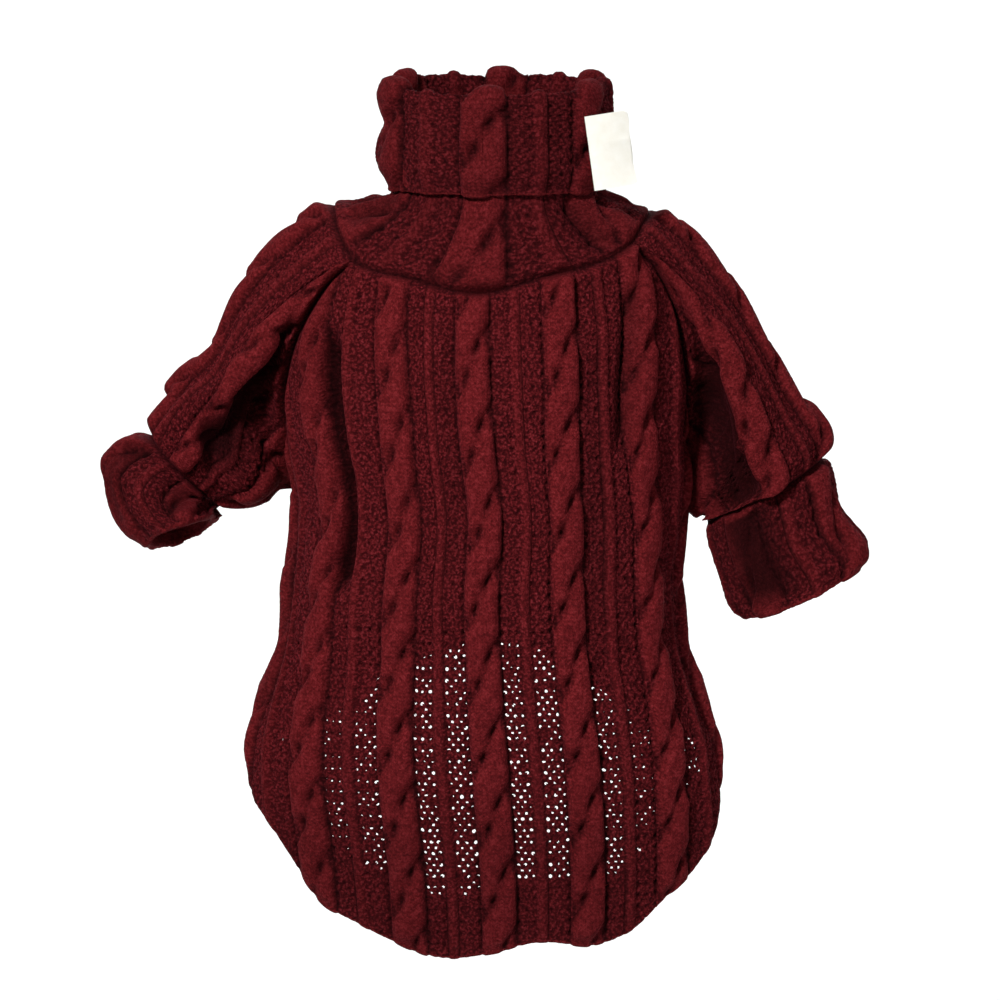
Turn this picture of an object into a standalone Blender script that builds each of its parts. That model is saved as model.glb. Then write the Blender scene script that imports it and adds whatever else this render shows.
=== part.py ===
"""Cable-knit dog sweater in a filled-out pose: a back panel with a long rounded tail, a shorter belly
panel, raglan sleeves with sewn-on cuffs, a fold-over turtleneck and a blank tag.

X points to the right of someone who looks at the back panel, Y points away from them and Z points up.
The origin is at the centre of the neck seam. Sizes are in millimetres, and become metres when a mesh
is made. An angle round the body or the collar is in degrees: 0 is the middle of the back panel, 90 is
the right side, -90 the left side and 180 the middle of the belly.
"""

from collections import namedtuple

import bmesh
import bpy
import numpy as np

METRES = 0.001

# Cloth
WALL = 2.0
HEM_WALL = 3.0
HEM_BAND = 22.0
SEAM_SETBACK = 0.3
SEAM_EASE = 14.0
UNDERARM_EASE = 6.0
SEAM_DIP = 6.0
LEAST_SLANT = 0.55

# Knit pattern: a cable, a stretch of purl mesh, a narrow rib, and purl mesh again
CABLE_PITCH = 33.0
CABLE_HALF = 0.235
CABLE_HEIGHT = 3.0
CABLE_CROSSING = 28.5
RIB_HALF = 0.08
RIB_HEIGHT = 0.9
PITCH_LINES = (-0.235, -0.13, 0.0, 0.13, 0.235, 0.42, 0.5, 0.58)

# Panels
SIDE_SEAM_ANGLE = 110.0
BACK_HALF_GIRTH = 112.0
BELLY_HALF_GIRTH = 80.0
BACK_ROWS = 38
BELLY_ROWS = 24
ARMHOLE_ACROSS = 0.42
INSIDE_STEP = 5
INSIDE_STEP_AT_ARMHOLE = 2
MIDDLE_HEIGHT = -60.0
EDGE_PASSES = 12

# Sleeves, as a flat cut: a neck edge, two raglan edges and an underarm edge
SLEEVE_NECK_HALF = 36.0
SLEEVE_HALF_WIDTH = 85.0
SLEEVE_RAGLAN_DROP = 88.0
SLEEVE_LENGTH = 118.0
SLEEVE_RUN = 94.0
SLEEVE_RADIUS = 27.0
SLEEVE_CABLES = 5
SLEEVE_ROWS = 18
SLEEVE_INSIDE_STEP = 2
ARMHOLE_TOP_ANGLE = 95.0
ARMHOLE_FADE = 0.6
CUFF_CABLES = 4
CUFF_ROWS = 6
CUFF_LENGTH = 34.0
CUFF_WALL = 2.4
CUFF_PATTERN_SHIFT = 0.4
CUFF_INSIDE_STEP = 3

# Collar
COLLAR_CABLES = 6
COLLAR_MIDDLE = 2.0
COLLAR_HALF_WIDTH = 38.5
COLLAR_HALF_DEPTH = 36.5
COLLAR_TOP = 57.0
COLLAR_STAND_FOOT = 17.5
COLLAR_PATTERN_ANGLE = -6.0
TURN_DOWN_EDGE = 19.5
TURN_DOWN_OUT = 3.6
COLLAR_FLARE = 1.2

# Tag
TAG_WIDTH = 15.5
TAG_HEIGHT = 27.0
TAG_THICK = 1.3
TAG_LEAN = 8.0
TAG_ANGLE = 45.0
TAG_MIDDLE = 33.5
TAG_STAND_OFF = 1.6
TAG_TURN_AWAY = 12.0
TAG_BOW = 0.8
TAG_SWELL = 0.5

BodySection = namedtuple("BodySection", "height middle half_width back_depth belly_depth")
BODY_SECTIONS = (
    BodySection(-276, 1.0, 90.0, 29, 34),
    BodySection(-235, 0.0, 90.5, 33, 38),
    BodySection(-197, -2.6, 89.5, 38, 41),
    BodySection(-175, -3.0, 83.5, 42, 43),
    BodySection(-155, -3.0, 76.5, 44, 45),
    BodySection(-130, -2.8, 73.8, 46, 46),
    BodySection(-99, 0.0, 72.8, 46, 46),
    BodySection(-70, -1.6, 75.5, 46, 45),
    BodySection(-45, -2.0, 76.5, 44, 43),
    BodySection(-20, -1.0, 73.5, 40, 40),
    BodySection(0, 0.0, 66.0, 37, 38),
    BodySection(16, 0.0, 59.0, 35, 37),
)

EdgeRow = namedtuple("EdgeRow", "angle height")
NECK_EDGE = (
    EdgeRow(-180, -4.0),
    EdgeRow(-145, 2.0),
    EdgeRow(-120, 10.0),
    EdgeRow(-95, 14.0),
    EdgeRow(-80, 12.5),
    EdgeRow(-63, 4.5),
    EdgeRow(-49, -4.5),
    EdgeRow(-25, -11.0),
    EdgeRow(0, -16.0),
    EdgeRow(15, -11.0),
    EdgeRow(40, -4.5),
    EdgeRow(55, 1.5),
    EdgeRow(68, 8.0),
    EdgeRow(85, 11.0),
    EdgeRow(100, 11.5),
    EdgeRow(120, 9.0),
    EdgeRow(145, 2.0),
    EdgeRow(180, -4.0),
)
RAGLAN_EDGES = {
    ("left", "back"): (
        EdgeRow(49, -4.5),
        EdgeRow(58, -20),
        EdgeRow(68, -37),
        EdgeRow(80, -58),
        EdgeRow(94, -79),
        EdgeRow(110, -99),
    ),
    ("right", "back"): (
        EdgeRow(55, 1.5),
        EdgeRow(64, -13),
        EdgeRow(73, -32),
        EdgeRow(83, -54),
        EdgeRow(95, -77),
        EdgeRow(110, -99),
    ),
    ("left", "belly"): (
        EdgeRow(145, 2),
        EdgeRow(137, -22),
        EdgeRow(128, -50),
        EdgeRow(118, -77),
        EdgeRow(110, -99),
    ),
    ("right", "belly"): (
        EdgeRow(145, 2),
        EdgeRow(137, -22),
        EdgeRow(128, -50),
        EdgeRow(118, -77),
        EdgeRow(110, -99),
    ),
}
UNDERARM_HEIGHT = -99.0
BACK_HEM = (
    EdgeRow(-110, -194),
    EdgeRow(-90, -199),
    EdgeRow(-76, -212.5),
    EdgeRow(-64, -221.5),
    EdgeRow(-56, -233),
    EdgeRow(-46, -248),
    EdgeRow(-34, -256),
    EdgeRow(-25, -262),
    EdgeRow(-14, -268),
    EdgeRow(0, -266),
    EdgeRow(11, -262),
    EdgeRow(27, -263.5),
    EdgeRow(37, -258),
    EdgeRow(47, -247),
    EdgeRow(59, -237),
    EdgeRow(71, -226),
    EdgeRow(84, -207),
    EdgeRow(94, -198),
    EdgeRow(110, -194),
)
BELLY_HEM = (
    EdgeRow(110, -194),
    EdgeRow(125, -191),
    EdgeRow(138, -186),
    EdgeRow(150, -175),
    EdgeRow(165, -163),
    EdgeRow(176, -158.5),
    EdgeRow(190, -164),
    EdgeRow(208, -173),
    EdgeRow(222, -187),
    EdgeRow(236, -192),
    EdgeRow(250, -194),
)

# A ring of a sleeve or cuff: its top point, its low point, how deep it is from front to back, and how far
# its near side leans sideways and up
Ring = namedtuple("Ring", "along top_x top_y top_z low_x low_y low_z depth near_x near_z")
SLEEVE_RINGS = {
    "left": (
        Ring(0.0, -59.5, 3, 13.0, -68.5, 15.5, -101, 22, 0, 0),
        Ring(0.2, -75.5, 5, 1.5, -76.0, 16.0, -100.5, 25, 0, 0),
        Ring(0.4, -91.0, 6, -16.5, -83.0, 15.0, -100.5, 28, -1, 0),
        Ring(0.6, -101.5, 6, -39.0, -90.0, 13.0, -100.5, 29, -2, 1),
        Ring(0.8, -114.5, 6, -53.5, -96.5, 11.0, -101, 27, -2, 2),
        Ring(1.0, -129.0, 6, -73.0, -103.0, 9.0, -101, 23, -1, 2),
    ),
    "right": (
        Ring(0.0, 59.5, 3, 10.5, 68.5, 15.5, -101, 22, 0, 0),
        Ring(0.2, 75.0, 5, -1.0, 72.0, 15.0, -104, 25, 0, 0),
        Ring(0.4, 90.5, 6, -19.0, 75.5, 13.0, -105, 28, 1, 0),
        Ring(0.6, 102.5, 6, -39.5, 78.5, 10.0, -105.5, 28, 2, 0),
        Ring(0.8, 114.5, 6, -59.0, 80.5, 7.0, -106, 26, 2, 0),
        Ring(0.92, 125.0, 6, -74.5, 81.5, 5.0, -106, 24, 1, 0),
        Ring(1.0, 127.0, 6, -82.5, 82.0, 4.0, -106, 22, 0, 0),
    ),
}
CUFF_RINGS = {
    "left": (
        Ring(0.0, -129.0, 6, -73.0, -103.0, 9.0, -101, 23, -1, 2),
        Ring(0.3, -141.5, 5, -79.0, -104.0, 5.0, -102.0, 24, -1, 2.5),
        Ring(0.5, -146.0, 4, -87.0, -104.5, 1.0, -102.5, 24.5, -1.5, 3),
        Ring(0.75, -140.5, 1, -104.5, -104.0, -3.0, -103.0, 25, -2, 5),
        Ring(1.0, -129.5, -2, -116.5, -103.5, -8.0, -103.0, 25.5, -2.4, 6),
    ),
    "right": (
        Ring(0.0, 127.0, 6, -82.5, 82.0, 4.0, -106, 22, 0, 0),
        Ring(0.25, 130.0, 5, -91.0, 83.0, 2.0, -115, 22.5, 0, 0),
        Ring(0.5, 132.5, 4, -102.5, 87.0, 0.0, -127, 22, 0, 0),
        Ring(0.8, 142.5, 2, -115.5, 91.0, -3.0, -138.5, 21.5, 0, 0),
        Ring(1.0, 141.5, 0, -122.0, 95.0, -5.0, -142.5, 21, 0, 0.5),
    ),
}

# A fold of a sleeve runs straight from one place to another. A place is how far along the sleeve it is and
# the angle round it: 0 is the top, 90 the near side, 180 the underarm and -90 the far side
Fold = namedtuple("Fold", "from_along from_angle to_along to_angle height half_width")
SLEEVE_FOLDS = {
    "left": (
        Fold(0.22, 78, 1.05, 44, 3.2, 5),
        Fold(0.12, 104, 0.80, 96, -4.0, 12),
        Fold(0.30, 150, 1.00, 140, 2.0, 6),
        Fold(0.75, -2, 0.86, 10, 2.6, 7),
        Fold(0.20, -80, 0.85, -55, 2.4, 6),
        Fold(0.15, -112, 0.75, -105, -3.0, 10),
    ),
    "right": (
        Fold(0.25, 62, 0.95, 70, 2.4, 6),
        Fold(0.10, 108, 0.85, 112, -4.0, 11),
        Fold(0.55, 96, 1.02, 88, 2.6, 4),
        Fold(0.86, 20, 0.97, -20, 2.2, 7),
        Fold(0.25, -70, 0.95, -60, 2.4, 6),
        Fold(0.12, -110, 0.80, -104, -3.0, 10),
    ),
}

Cloth = namedtuple("Cloth", "colour roughness")
KNIT = Cloth((0.105, 0.010, 0.016, 1.0), 0.95)
TAPE = Cloth((0.80, 0.76, 0.66, 1.0), 0.85)


def unit(vectors):
    return vectors / np.linalg.norm(vectors, axis=-1, keepdims=True)


def ease(value):
    """Goes smoothly from 0 to 1 as the value does."""
    value = np.clip(value, 0, 1)
    return value * value * (3 - 2 * value)


def blend(first, second, share):
    share = np.asarray(share)[..., None]
    return first * (1 - share) + second * share


def named_column(rows, name):
    return np.array([getattr(row, name) for row in rows], float)


def smooth_line(rows, along_name, value_name, at):
    """The value at a place on the smooth line through a table's rows."""
    places = named_column(rows, along_name)
    values = named_column(rows, value_name)
    if places[0] > places[-1]:
        places, values = places[::-1], values[::-1]
    slopes = np.gradient(values, places)
    at = np.clip(at, places[0], places[-1])
    before = np.clip(np.searchsorted(places, at) - 1, 0, len(places) - 2)
    width = places[before + 1] - places[before]
    t = (at - places[before]) / width
    return (
        (1 + 2 * t) * (1 - t) ** 2 * values[before]
        + t * (1 - t) ** 2 * width * slopes[before]
        + t**2 * (3 - 2 * t) * values[before + 1]
        + t**2 * (t - 1) * width * slopes[before + 1]
    )


# The body that both panels are cut from


def body_point(angle, height):
    turn = np.radians(angle)
    middle = smooth_line(BODY_SECTIONS, "height", "middle", height)
    half_width = smooth_line(BODY_SECTIONS, "height", "half_width", height)
    back_depth = smooth_line(BODY_SECTIONS, "height", "back_depth", height)
    belly_depth = smooth_line(BODY_SECTIONS, "height", "belly_depth", height)
    depth = np.where(np.cos(turn) > 0, back_depth, belly_depth)
    x = middle + half_width * np.sin(turn)
    y = -depth * np.cos(turn)
    return np.stack(np.broadcast_arrays(x, y, height + 0 * x), axis=-1)


def body_normal(angle, height):
    round_step = body_point(angle + 1, height) - body_point(angle - 1, height)
    up_step = body_point(angle, height + 1) - body_point(angle, height - 1)
    return unit(np.cross(round_step, up_step))


def girth_angles(first, last):
    """A table of the angle at even steps of girth between two angles, for a run of heights."""
    heights = np.arange(-280.0, 21.0, 5.0)
    angles = np.linspace(first, last, 181)
    points = body_point(angles[None, :], heights[:, None])
    steps = np.linalg.norm(np.diff(points, axis=1), axis=2)
    lengths = np.concatenate([np.zeros((len(heights), 1)), np.cumsum(steps, axis=1)], axis=1)
    shares = 2 * lengths / lengths[:, -1:] - 1
    even = np.linspace(-1, 1, 161)
    return heights, even, np.array([np.interp(even, share, angles) for share in shares])


GIRTHS = {
    "back": girth_angles(-SIDE_SEAM_ANGLE, SIDE_SEAM_ANGLE),
    "belly": girth_angles(SIDE_SEAM_ANGLE, 360 - SIDE_SEAM_ANGLE),
}


def panel_angle(panel, across, height):
    """The angle at a share across the panel's girth, from -1 at one side seam to 1 at the other."""
    heights, even, table = GIRTHS[panel]
    if panel == "back":
        drift = np.interp(height, (-200, -20), (0.026, -0.050))
        across = across + drift * (1 - across**2)
    row = np.clip((height - heights[0]) / (heights[1] - heights[0]), 0, len(heights) - 1.001)
    column = np.clip((across - even[0]) / (even[1] - even[0]), 0, len(even) - 1.001)
    i, j = row.astype(int), column.astype(int)
    u, v = row - i, column - j
    low = table[i, j] * (1 - v) + table[i, j + 1] * v
    high = table[i + 1, j] * (1 - v) + table[i + 1, j + 1] * v
    return low * (1 - u) + high * u


def neck_height(angle):
    return smooth_line(NECK_EDGE, "angle", "height", (np.asarray(angle) + 180) % 360 - 180)


def top_height(panel, angle):
    """The height of a panel's upper edge: the neck seam, then the raglan seams."""
    left, right = RAGLAN_EDGES["left", panel], RAGLAN_EDGES["right", panel]
    if panel == "back":
        left_angle, right_angle = -angle, angle
        on_left, on_right = left_angle > left[0].angle, right_angle > right[0].angle
    else:
        left_angle, right_angle = 360 - angle, angle
        on_left, on_right = left_angle < left[0].angle, right_angle < right[0].angle
    height = neck_height(angle)
    height = np.where(on_left, smooth_line(left, "angle", "height", left_angle), height)
    return np.where(on_right, smooth_line(right, "angle", "height", right_angle), height)


def edge_of_panel(panel, across, height_at):
    """The height at which each column of a panel meets an edge that is given as a height at an angle."""
    height = np.full(np.shape(across), MIDDLE_HEIGHT)
    for _ in range(EDGE_PASSES):
        height = height_at(panel_angle(panel, across, height))
    return height


def neck_normal(angle):
    """The way the wall's edges face along the neck seam: outwards, and more upwards at the shoulders."""
    turn = np.radians(angle)
    rise = np.radians(12 + 34 * np.sin(turn) ** 2)
    parts = (np.sin(turn) * np.cos(rise), -np.cos(turn) * np.cos(rise), np.sin(rise))
    return np.stack(parts, axis=-1)


# The sleeves


def ring_point(rings, along, turn):
    """The point of a sleeve or cuff at a turn round its ring, in radians."""
    value = {name: smooth_line(rings, "along", name, along) for name in Ring._fields[1:]}
    top = np.stack((value["top_x"], value["top_y"], value["top_z"]), axis=-1)
    low = np.stack((value["low_x"], value["low_y"], value["low_z"]), axis=-1)
    near = np.stack((value["near_x"], -value["depth"], value["near_z"]), axis=-1)
    turn = np.asarray(turn)[..., None]
    return (top + low) / 2 + (top - low) / 2 * np.cos(turn) + near * np.sin(turn)


def armhole_half(side, end):
    """Half of an armhole as close points: down from the top of the neck edge to the underarm."""
    sign = -1 if side == "left" else 1
    rows = RAGLAN_EDGES[side, end]
    neck_angles = np.linspace(ARMHOLE_TOP_ANGLE, rows[0].angle, 40)
    seam_angles = np.linspace(rows[0].angle, rows[-1].angle, 120)[1:]
    angles = sign * np.concatenate([neck_angles, seam_angles])
    heights = np.concatenate(
        [neck_height(sign * neck_angles), smooth_line(rows, "angle", "height", seam_angles)]
    )
    points = body_point(angles, heights)
    steps = np.linalg.norm(np.diff(points, axis=0), axis=1)
    lengths = np.concatenate([[0], np.cumsum(steps)])
    return {
        "points": points,
        "angles": angles,
        "heights": heights,
        "turns": np.pi * lengths / lengths[-1],
        "lengths": lengths,
        "corner": len(neck_angles) - 1,
    }


ARMHOLES = {key: armhole_half(*key) for key in RAGLAN_EDGES}


def interpolated(half, name, turn):
    values = half[name]
    if values.ndim == 1:
        return np.interp(turn, half["turns"], values)
    return np.stack([np.interp(turn, half["turns"], part) for part in values.T], axis=-1)


def on_armhole(side, name, turn):
    """A value on the armhole: the back panel's half for a positive turn, the belly panel's for a negative."""
    near = interpolated(ARMHOLES[side, "back"], name, np.abs(turn))
    far = interpolated(ARMHOLES[side, "belly"], name, np.abs(turn))
    return np.where((turn >= 0)[..., None], near, far)


def fold_height(folds, along, turn):
    """How far the folds lift the cloth, in the smooth surface's own place."""
    total = np.zeros(np.broadcast(along, turn).shape)
    for fold in folds:
        run = (fold.to_along - fold.from_along) * SLEEVE_RUN
        across = np.radians(fold.to_angle - fold.from_angle) * SLEEVE_RADIUS
        size = np.hypot(run, across)
        x = (along - fold.from_along) * SLEEVE_RUN
        y = (turn - np.radians(fold.from_angle)) * SLEEVE_RADIUS
        share = (x * run + y * across) / size**2
        off = (y * run - x * across) / size
        ends = ease(share * 5 + 0.5) * ease((1 - share) * 5 + 0.5)
        total = total + fold.height * np.exp(-((off / fold.half_width) ** 2)) * ends
    return total


def sleeve_point(side, along, turn):
    rings = SLEEVE_RINGS[side]
    point = ring_point(rings, along, turn)
    start = ring_point(rings, np.zeros_like(along), turn)
    fade = 1 - ease(along / ARMHOLE_FADE)
    return point + (on_armhole(side, "points", turn) - start) * fade[..., None]


def corner_turn(side, end):
    """The turn at which the neck edge of an armhole ends and its raglan edge starts."""
    half = ARMHOLES[side, end]
    return half["turns"][half["corner"]]


def sleeve_turn(side, across, along):
    """The turn round the sleeve of a line of stitches that starts at a place across the flat cut."""
    size = np.abs(across)
    corner = np.where(across >= 0, corner_turn(side, "back"), corner_turn(side, "belly"))
    on_neck = corner * size / SLEEVE_NECK_HALF
    raglan_share = (size - SLEEVE_NECK_HALF) / (SLEEVE_HALF_WIDTH - SLEEVE_NECK_HALF)
    on_raglan = corner + (np.pi - corner) * raglan_share
    start = np.where(size < SLEEVE_NECK_HALF, on_neck, on_raglan)
    finish = np.pi * size / SLEEVE_HALF_WIDTH
    return np.sign(across) * (start * (1 - along) + finish * along)


def sleeve_stitch(across, along):
    """How far down the flat cut a place is, from the neck edge."""
    size = np.abs(across)
    drop = SLEEVE_RAGLAN_DROP * (size - SLEEVE_NECK_HALF) / (SLEEVE_HALF_WIDTH - SLEEVE_NECK_HALF)
    return np.maximum(drop, 0) * (1 - along) + SLEEVE_LENGTH * along


def raglan_normals(side, end):
    """The way the wall's edges face along a raglan seam: between the panel's way and the sleeve's."""
    half = ARMHOLES[side, end]
    first = half["corner"]
    turns, lengths = half["turns"][first:], half["lengths"][first:] - half["lengths"][first]
    sign = 1 if end == "back" else -1
    start = np.zeros(len(turns))
    near = start + 0.06
    inner = np.clip(turns, 0.02, np.pi - 0.02)
    before, after = sign * (inner - 0.02), sign * (inner + 0.02)
    out_step = sleeve_point(side, near, sign * inner) - sleeve_point(side, start, sign * inner)
    round_step = sleeve_point(side, near, after) - sleeve_point(side, near, before)
    facing = unit(np.cross(out_step, round_step)) * sign
    if side == "right":
        facing = -facing
    body = body_normal(half["angles"][first:], half["heights"][first:])
    between = unit(body + facing)
    corner = neck_normal(half["angles"][first])
    under = underarm_normal(side)
    between = unit(blend(corner[None, :], between, ease(lengths / SEAM_EASE)))
    return unit(blend(under[None, :], between, ease((lengths[-1] - lengths) / UNDERARM_EASE)))


def underarm_normal(side):
    sign = -1 if side == "left" else 1
    return unit(body_normal(sign * SIDE_SEAM_ANGLE, UNDERARM_HEIGHT) + np.array([0, 0, -1.0]))


RAGLAN_NORMALS = {key: raglan_normals(*key) for key in RAGLAN_EDGES}


def raglan_normal(side, end, height):
    half = ARMHOLES[side, end]
    heights = half["heights"][half["corner"] :][::-1]
    normals = RAGLAN_NORMALS[side, end][::-1]
    return unit(np.stack([np.interp(height, heights, part) for part in normals.T], axis=-1))


def side_seam_normal(side, height):
    sign = -1 if side == "left" else 1
    plain = body_normal(np.full(np.shape(height), sign * SIDE_SEAM_ANGLE), height)
    return unit(blend(underarm_normal(side), plain, ease((UNDERARM_HEIGHT - height) / SEAM_EASE)))


# The knit's raised lines


def knit_height(pitches, stitch):
    """The raised cables and ribs: pitches counts pattern repeats across, stitch is millimetres along."""
    from_cable = pitches - np.round(pitches)
    from_rib = np.abs(from_cable) - 0.5
    dome = np.sqrt(np.clip(1 - (from_cable / (CABLE_HALF * 1.08)) ** 2, 0, 1))
    twist = 0.78 + 0.22 * np.cos(2 * np.pi * (stitch / CABLE_CROSSING + from_cable / 0.4))
    rib = np.clip(1 - np.abs(from_rib) / RIB_HALF, 0, 1)
    return CABLE_HEIGHT * dome * twist + RIB_HEIGHT * rib


def pattern_columns(half_count):
    """Column places in pattern repeats, from -half_count to half_count, on the cables' and ribs' lines."""
    whole = int(np.ceil(half_count)) + 1
    lines = [k + line for k in range(-whole, whole + 1) for line in PITCH_LINES]
    inside = [line for line in lines if abs(line) < half_count - 0.04]
    return np.array([-half_count] + inside + [half_count])


# Meshes


class Wall:
    """Gathers the points and faces of one piece of cloth."""

    def __init__(self):
        self.points = []
        self.faces = []

    def add(self, points):
        first = len(self.points)
        self.points.extend(np.asarray(points).tolist())
        return list(range(first, first + len(points)))

    def zip_lines(self, first, second, closed):
        """Fills between two lines of points, which may have different counts."""
        a = first + first[:1] if closed else first
        b = second + second[:1] if closed else second
        i = j = 0
        while i < len(a) - 1 or j < len(b) - 1:
            a_next = (i + 1) / (len(a) - 1) if i < len(a) - 1 else 2.0
            b_next = (j + 1) / (len(b) - 1) if j < len(b) - 1 else 2.0
            if abs(a_next - b_next) < 1e-9:
                self.faces.append((a[i], a[i + 1], b[j + 1], b[j]))
                i, j = i + 1, j + 1
            elif a_next < b_next:
                self.faces.append((a[i], a[i + 1], b[j]))
                i += 1
            else:
                self.faces.append((a[i], b[j + 1], b[j]))
                j += 1

    def make(self, name, cloth):
        mesh = bpy.data.meshes.new(name)
        mesh.from_pydata((np.array(self.points) * METRES).tolist(), [], self.faces)
        mesh.validate()
        piece = bpy.data.objects.new(name, mesh)
        bpy.context.collection.objects.link(piece)
        bpy.context.view_layer.objects.active = piece
        turn_faces_out(mesh)
        mesh.shade_smooth()
        mesh.set_sharp_from_angle(angle=np.radians(50))
        mesh.materials.append(cloth_material(name, cloth))
        return piece


def turn_faces_out(mesh):
    work = bmesh.new()
    work.from_mesh(mesh)
    bmesh.ops.recalc_face_normals(work, faces=work.faces)
    work.to_mesh(mesh)
    work.free()


def cloth_material(name, cloth):
    material = bpy.data.materials.new(name)
    material.use_nodes = True
    shader = material.node_tree.nodes["Principled BSDF"]
    shader.inputs["Base Color"].default_value = cloth.colour
    shader.inputs["Roughness"].default_value = cloth.roughness
    shader.inputs["Metallic"].default_value = 0.0
    return material


def grid_normals(points, closed, outward):
    """Normals of a grid of points, on the side that the outward vectors point to."""
    down = np.gradient(points, axis=0)
    if closed:
        over = (np.roll(points, -1, axis=1) - np.roll(points, 1, axis=1)) / 2
    else:
        over = np.gradient(points, axis=1)
    normals = unit(np.cross(down, over))
    return normals * np.sign((normals * outward).sum())


def setback(line, normals, inside, closed):
    """An edge line moved in from its seam, square to the edge and along the cloth."""
    if closed:
        along = np.roll(line, -1, axis=0) - np.roll(line, 1, axis=0)
    else:
        along = np.gradient(line, axis=0)
    inward = unit(np.cross(normals, unit(along)))
    inward *= np.sign(((inside - line) * inward).sum(axis=-1, keepdims=True))
    return line + inward * SEAM_SETBACK


def thickness(normals, plain_normals):
    """How much longer a slanted edge is than the wall is thick."""
    cosine = (normals * plain_normals).sum(axis=-1)
    return 1 / np.clip(cosine, LEAST_SLANT, 1)


# Panels


def panel_top_normals(panel, angles, heights):
    normals = neck_normal(angles)
    for side in ("left", "right"):
        corner = RAGLAN_EDGES[side, panel][0].angle
        if panel == "back":
            beyond = angles < -corner if side == "left" else angles > corner
        else:
            beyond = angles > 360 - corner if side == "left" else angles < corner
        normals[beyond] = raglan_normal(side, panel, heights[beyond])
    return normals


def panel_surface(panel, across, fractions):
    """The smooth surface of a panel as a grid: points, normals, stitch heights and distances to its edges."""
    hem = BACK_HEM if panel == "back" else BELLY_HEM
    top = edge_of_panel(panel, across, lambda angle: top_height(panel, angle))
    bottom = edge_of_panel(panel, across, lambda angle: smooth_line(hem, "angle", "height", angle))
    height = top[None, :] * (1 - fractions[:, None]) + bottom[None, :] * fractions[:, None]
    angle = panel_angle(panel, np.broadcast_to(across, height.shape), height)
    points = body_point(angle, height)
    normals = body_normal(angle, height)
    top_steepness = edge_steepness(points[0])
    hem_steepness = edge_steepness(points[-1])
    from_top = (top[None, :] - height) * top_steepness
    from_hem = (height - bottom[None, :]) * hem_steepness
    half_girth = BACK_HALF_GIRTH if panel == "back" else BELLY_HALF_GIRTH
    from_side = (1 - np.abs(across))[None, :] * half_girth + 0 * height
    top_normals = panel_top_normals(panel, angle[0], top)
    normals = unit(blend(top_normals[None, :, :] + 0 * normals, normals, ease(from_top / SEAM_EASE)))
    for column, side in panel_sides(panel):
        seam = side_seam_normal(side, height[:, column])
        share = ease(from_side / SEAM_EASE)
        on_this_side = np.sign(across)[None, :] == np.sign(across[column])
        share = np.where(on_this_side & (height < UNDERARM_HEIGHT + SEAM_EASE), share, 1)
        normals = unit(blend(seam[:, None, :] + 0 * normals, normals, share))
        normals[0, column] = underarm_normal(side)
    return points, normals, height, from_top, from_side, from_hem


def panel_sides(panel):
    return ((0, "left"), (-1, "right")) if panel == "back" else ((0, "right"), (-1, "left"))


def edge_steepness(line):
    """The share of an edge's upright distance that is square to the edge, for each of its points."""
    step = np.gradient(line, axis=0)
    level = np.hypot(step[:, 0], step[:, 1])
    return (level / np.linalg.norm(step, axis=1))[None, :]


def make_panel(panel, rows):
    half_girth = BACK_HALF_GIRTH if panel == "back" else BELLY_HALF_GIRTH
    pitches = pattern_columns(half_girth / CABLE_PITCH)
    across = pitches / pitches[-1]
    fractions = np.linspace(0, 1, rows + 1)
    points, normals, height, from_top, from_side, from_hem = panel_surface(panel, across, fractions)
    raised = knit_height(pitches[None, :] + 0 * height, height)
    raised *= ease(from_top / SEAM_DIP) * ease(from_side / SEAM_DIP)
    plain = body_normal(panel_angle(panel, np.broadcast_to(across, height.shape), height), height)
    depth = WALL + (HEM_WALL - WALL) * (1 - ease((from_hem - HEM_BAND + 3) / 3))
    depth = depth * thickness(normals, plain)
    points = points.copy()
    points[0] = setback(points[0], normals[0], points[1], closed=False)
    for column, near in ((0, 1), (-1, -2)):
        points[:, column] = setback(points[:, column], normals[:, column], points[:, near], closed=False)
    outer = points + normals * raised[..., None]
    inner = points - normals * depth[..., None]
    wall = Wall()
    keep = plain_columns(across)
    outer_rows = [wall.add(row) for row in outer]
    inner_rows = [wall.add(inner[0])]
    inner_rows += [wall.add(row[keep]) for row in inner[1:-1]]
    inner_rows += [wall.add(inner[-1])]
    for upper, lower in zip(outer_rows, outer_rows[1:]):
        wall.zip_lines(upper, lower, closed=False)
    for upper, lower in zip(inner_rows, inner_rows[1:]):
        wall.zip_lines(lower, upper, closed=False)
    wall.zip_lines(inner_rows[0], outer_rows[0], closed=False)
    wall.zip_lines(outer_rows[-1], inner_rows[-1], closed=False)
    for i in range(rows):
        upper, lower, upper_in, lower_in = outer_rows[i], outer_rows[i + 1], inner_rows[i], inner_rows[i + 1]
        wall.faces.append((upper[0], lower[0], lower_in[0], upper_in[0]))
        wall.faces.append((lower[-1], upper[-1], upper_in[-1], lower_in[-1]))
    return wall.make(f"{panel}_panel", KNIT)


def plain_columns(across):
    """The columns that the plain inside keeps: every few, closer by the armholes, and the last."""
    keep = [0]
    last = len(across) - 1
    while keep[-1] < last:
        by_armhole = abs(across[keep[-1]]) > ARMHOLE_ACROSS
        step = INSIDE_STEP_AT_ARMHOLE if by_armhole else INSIDE_STEP
        keep.append(min(keep[-1] + step, last))
    return keep


# Tubes


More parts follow.
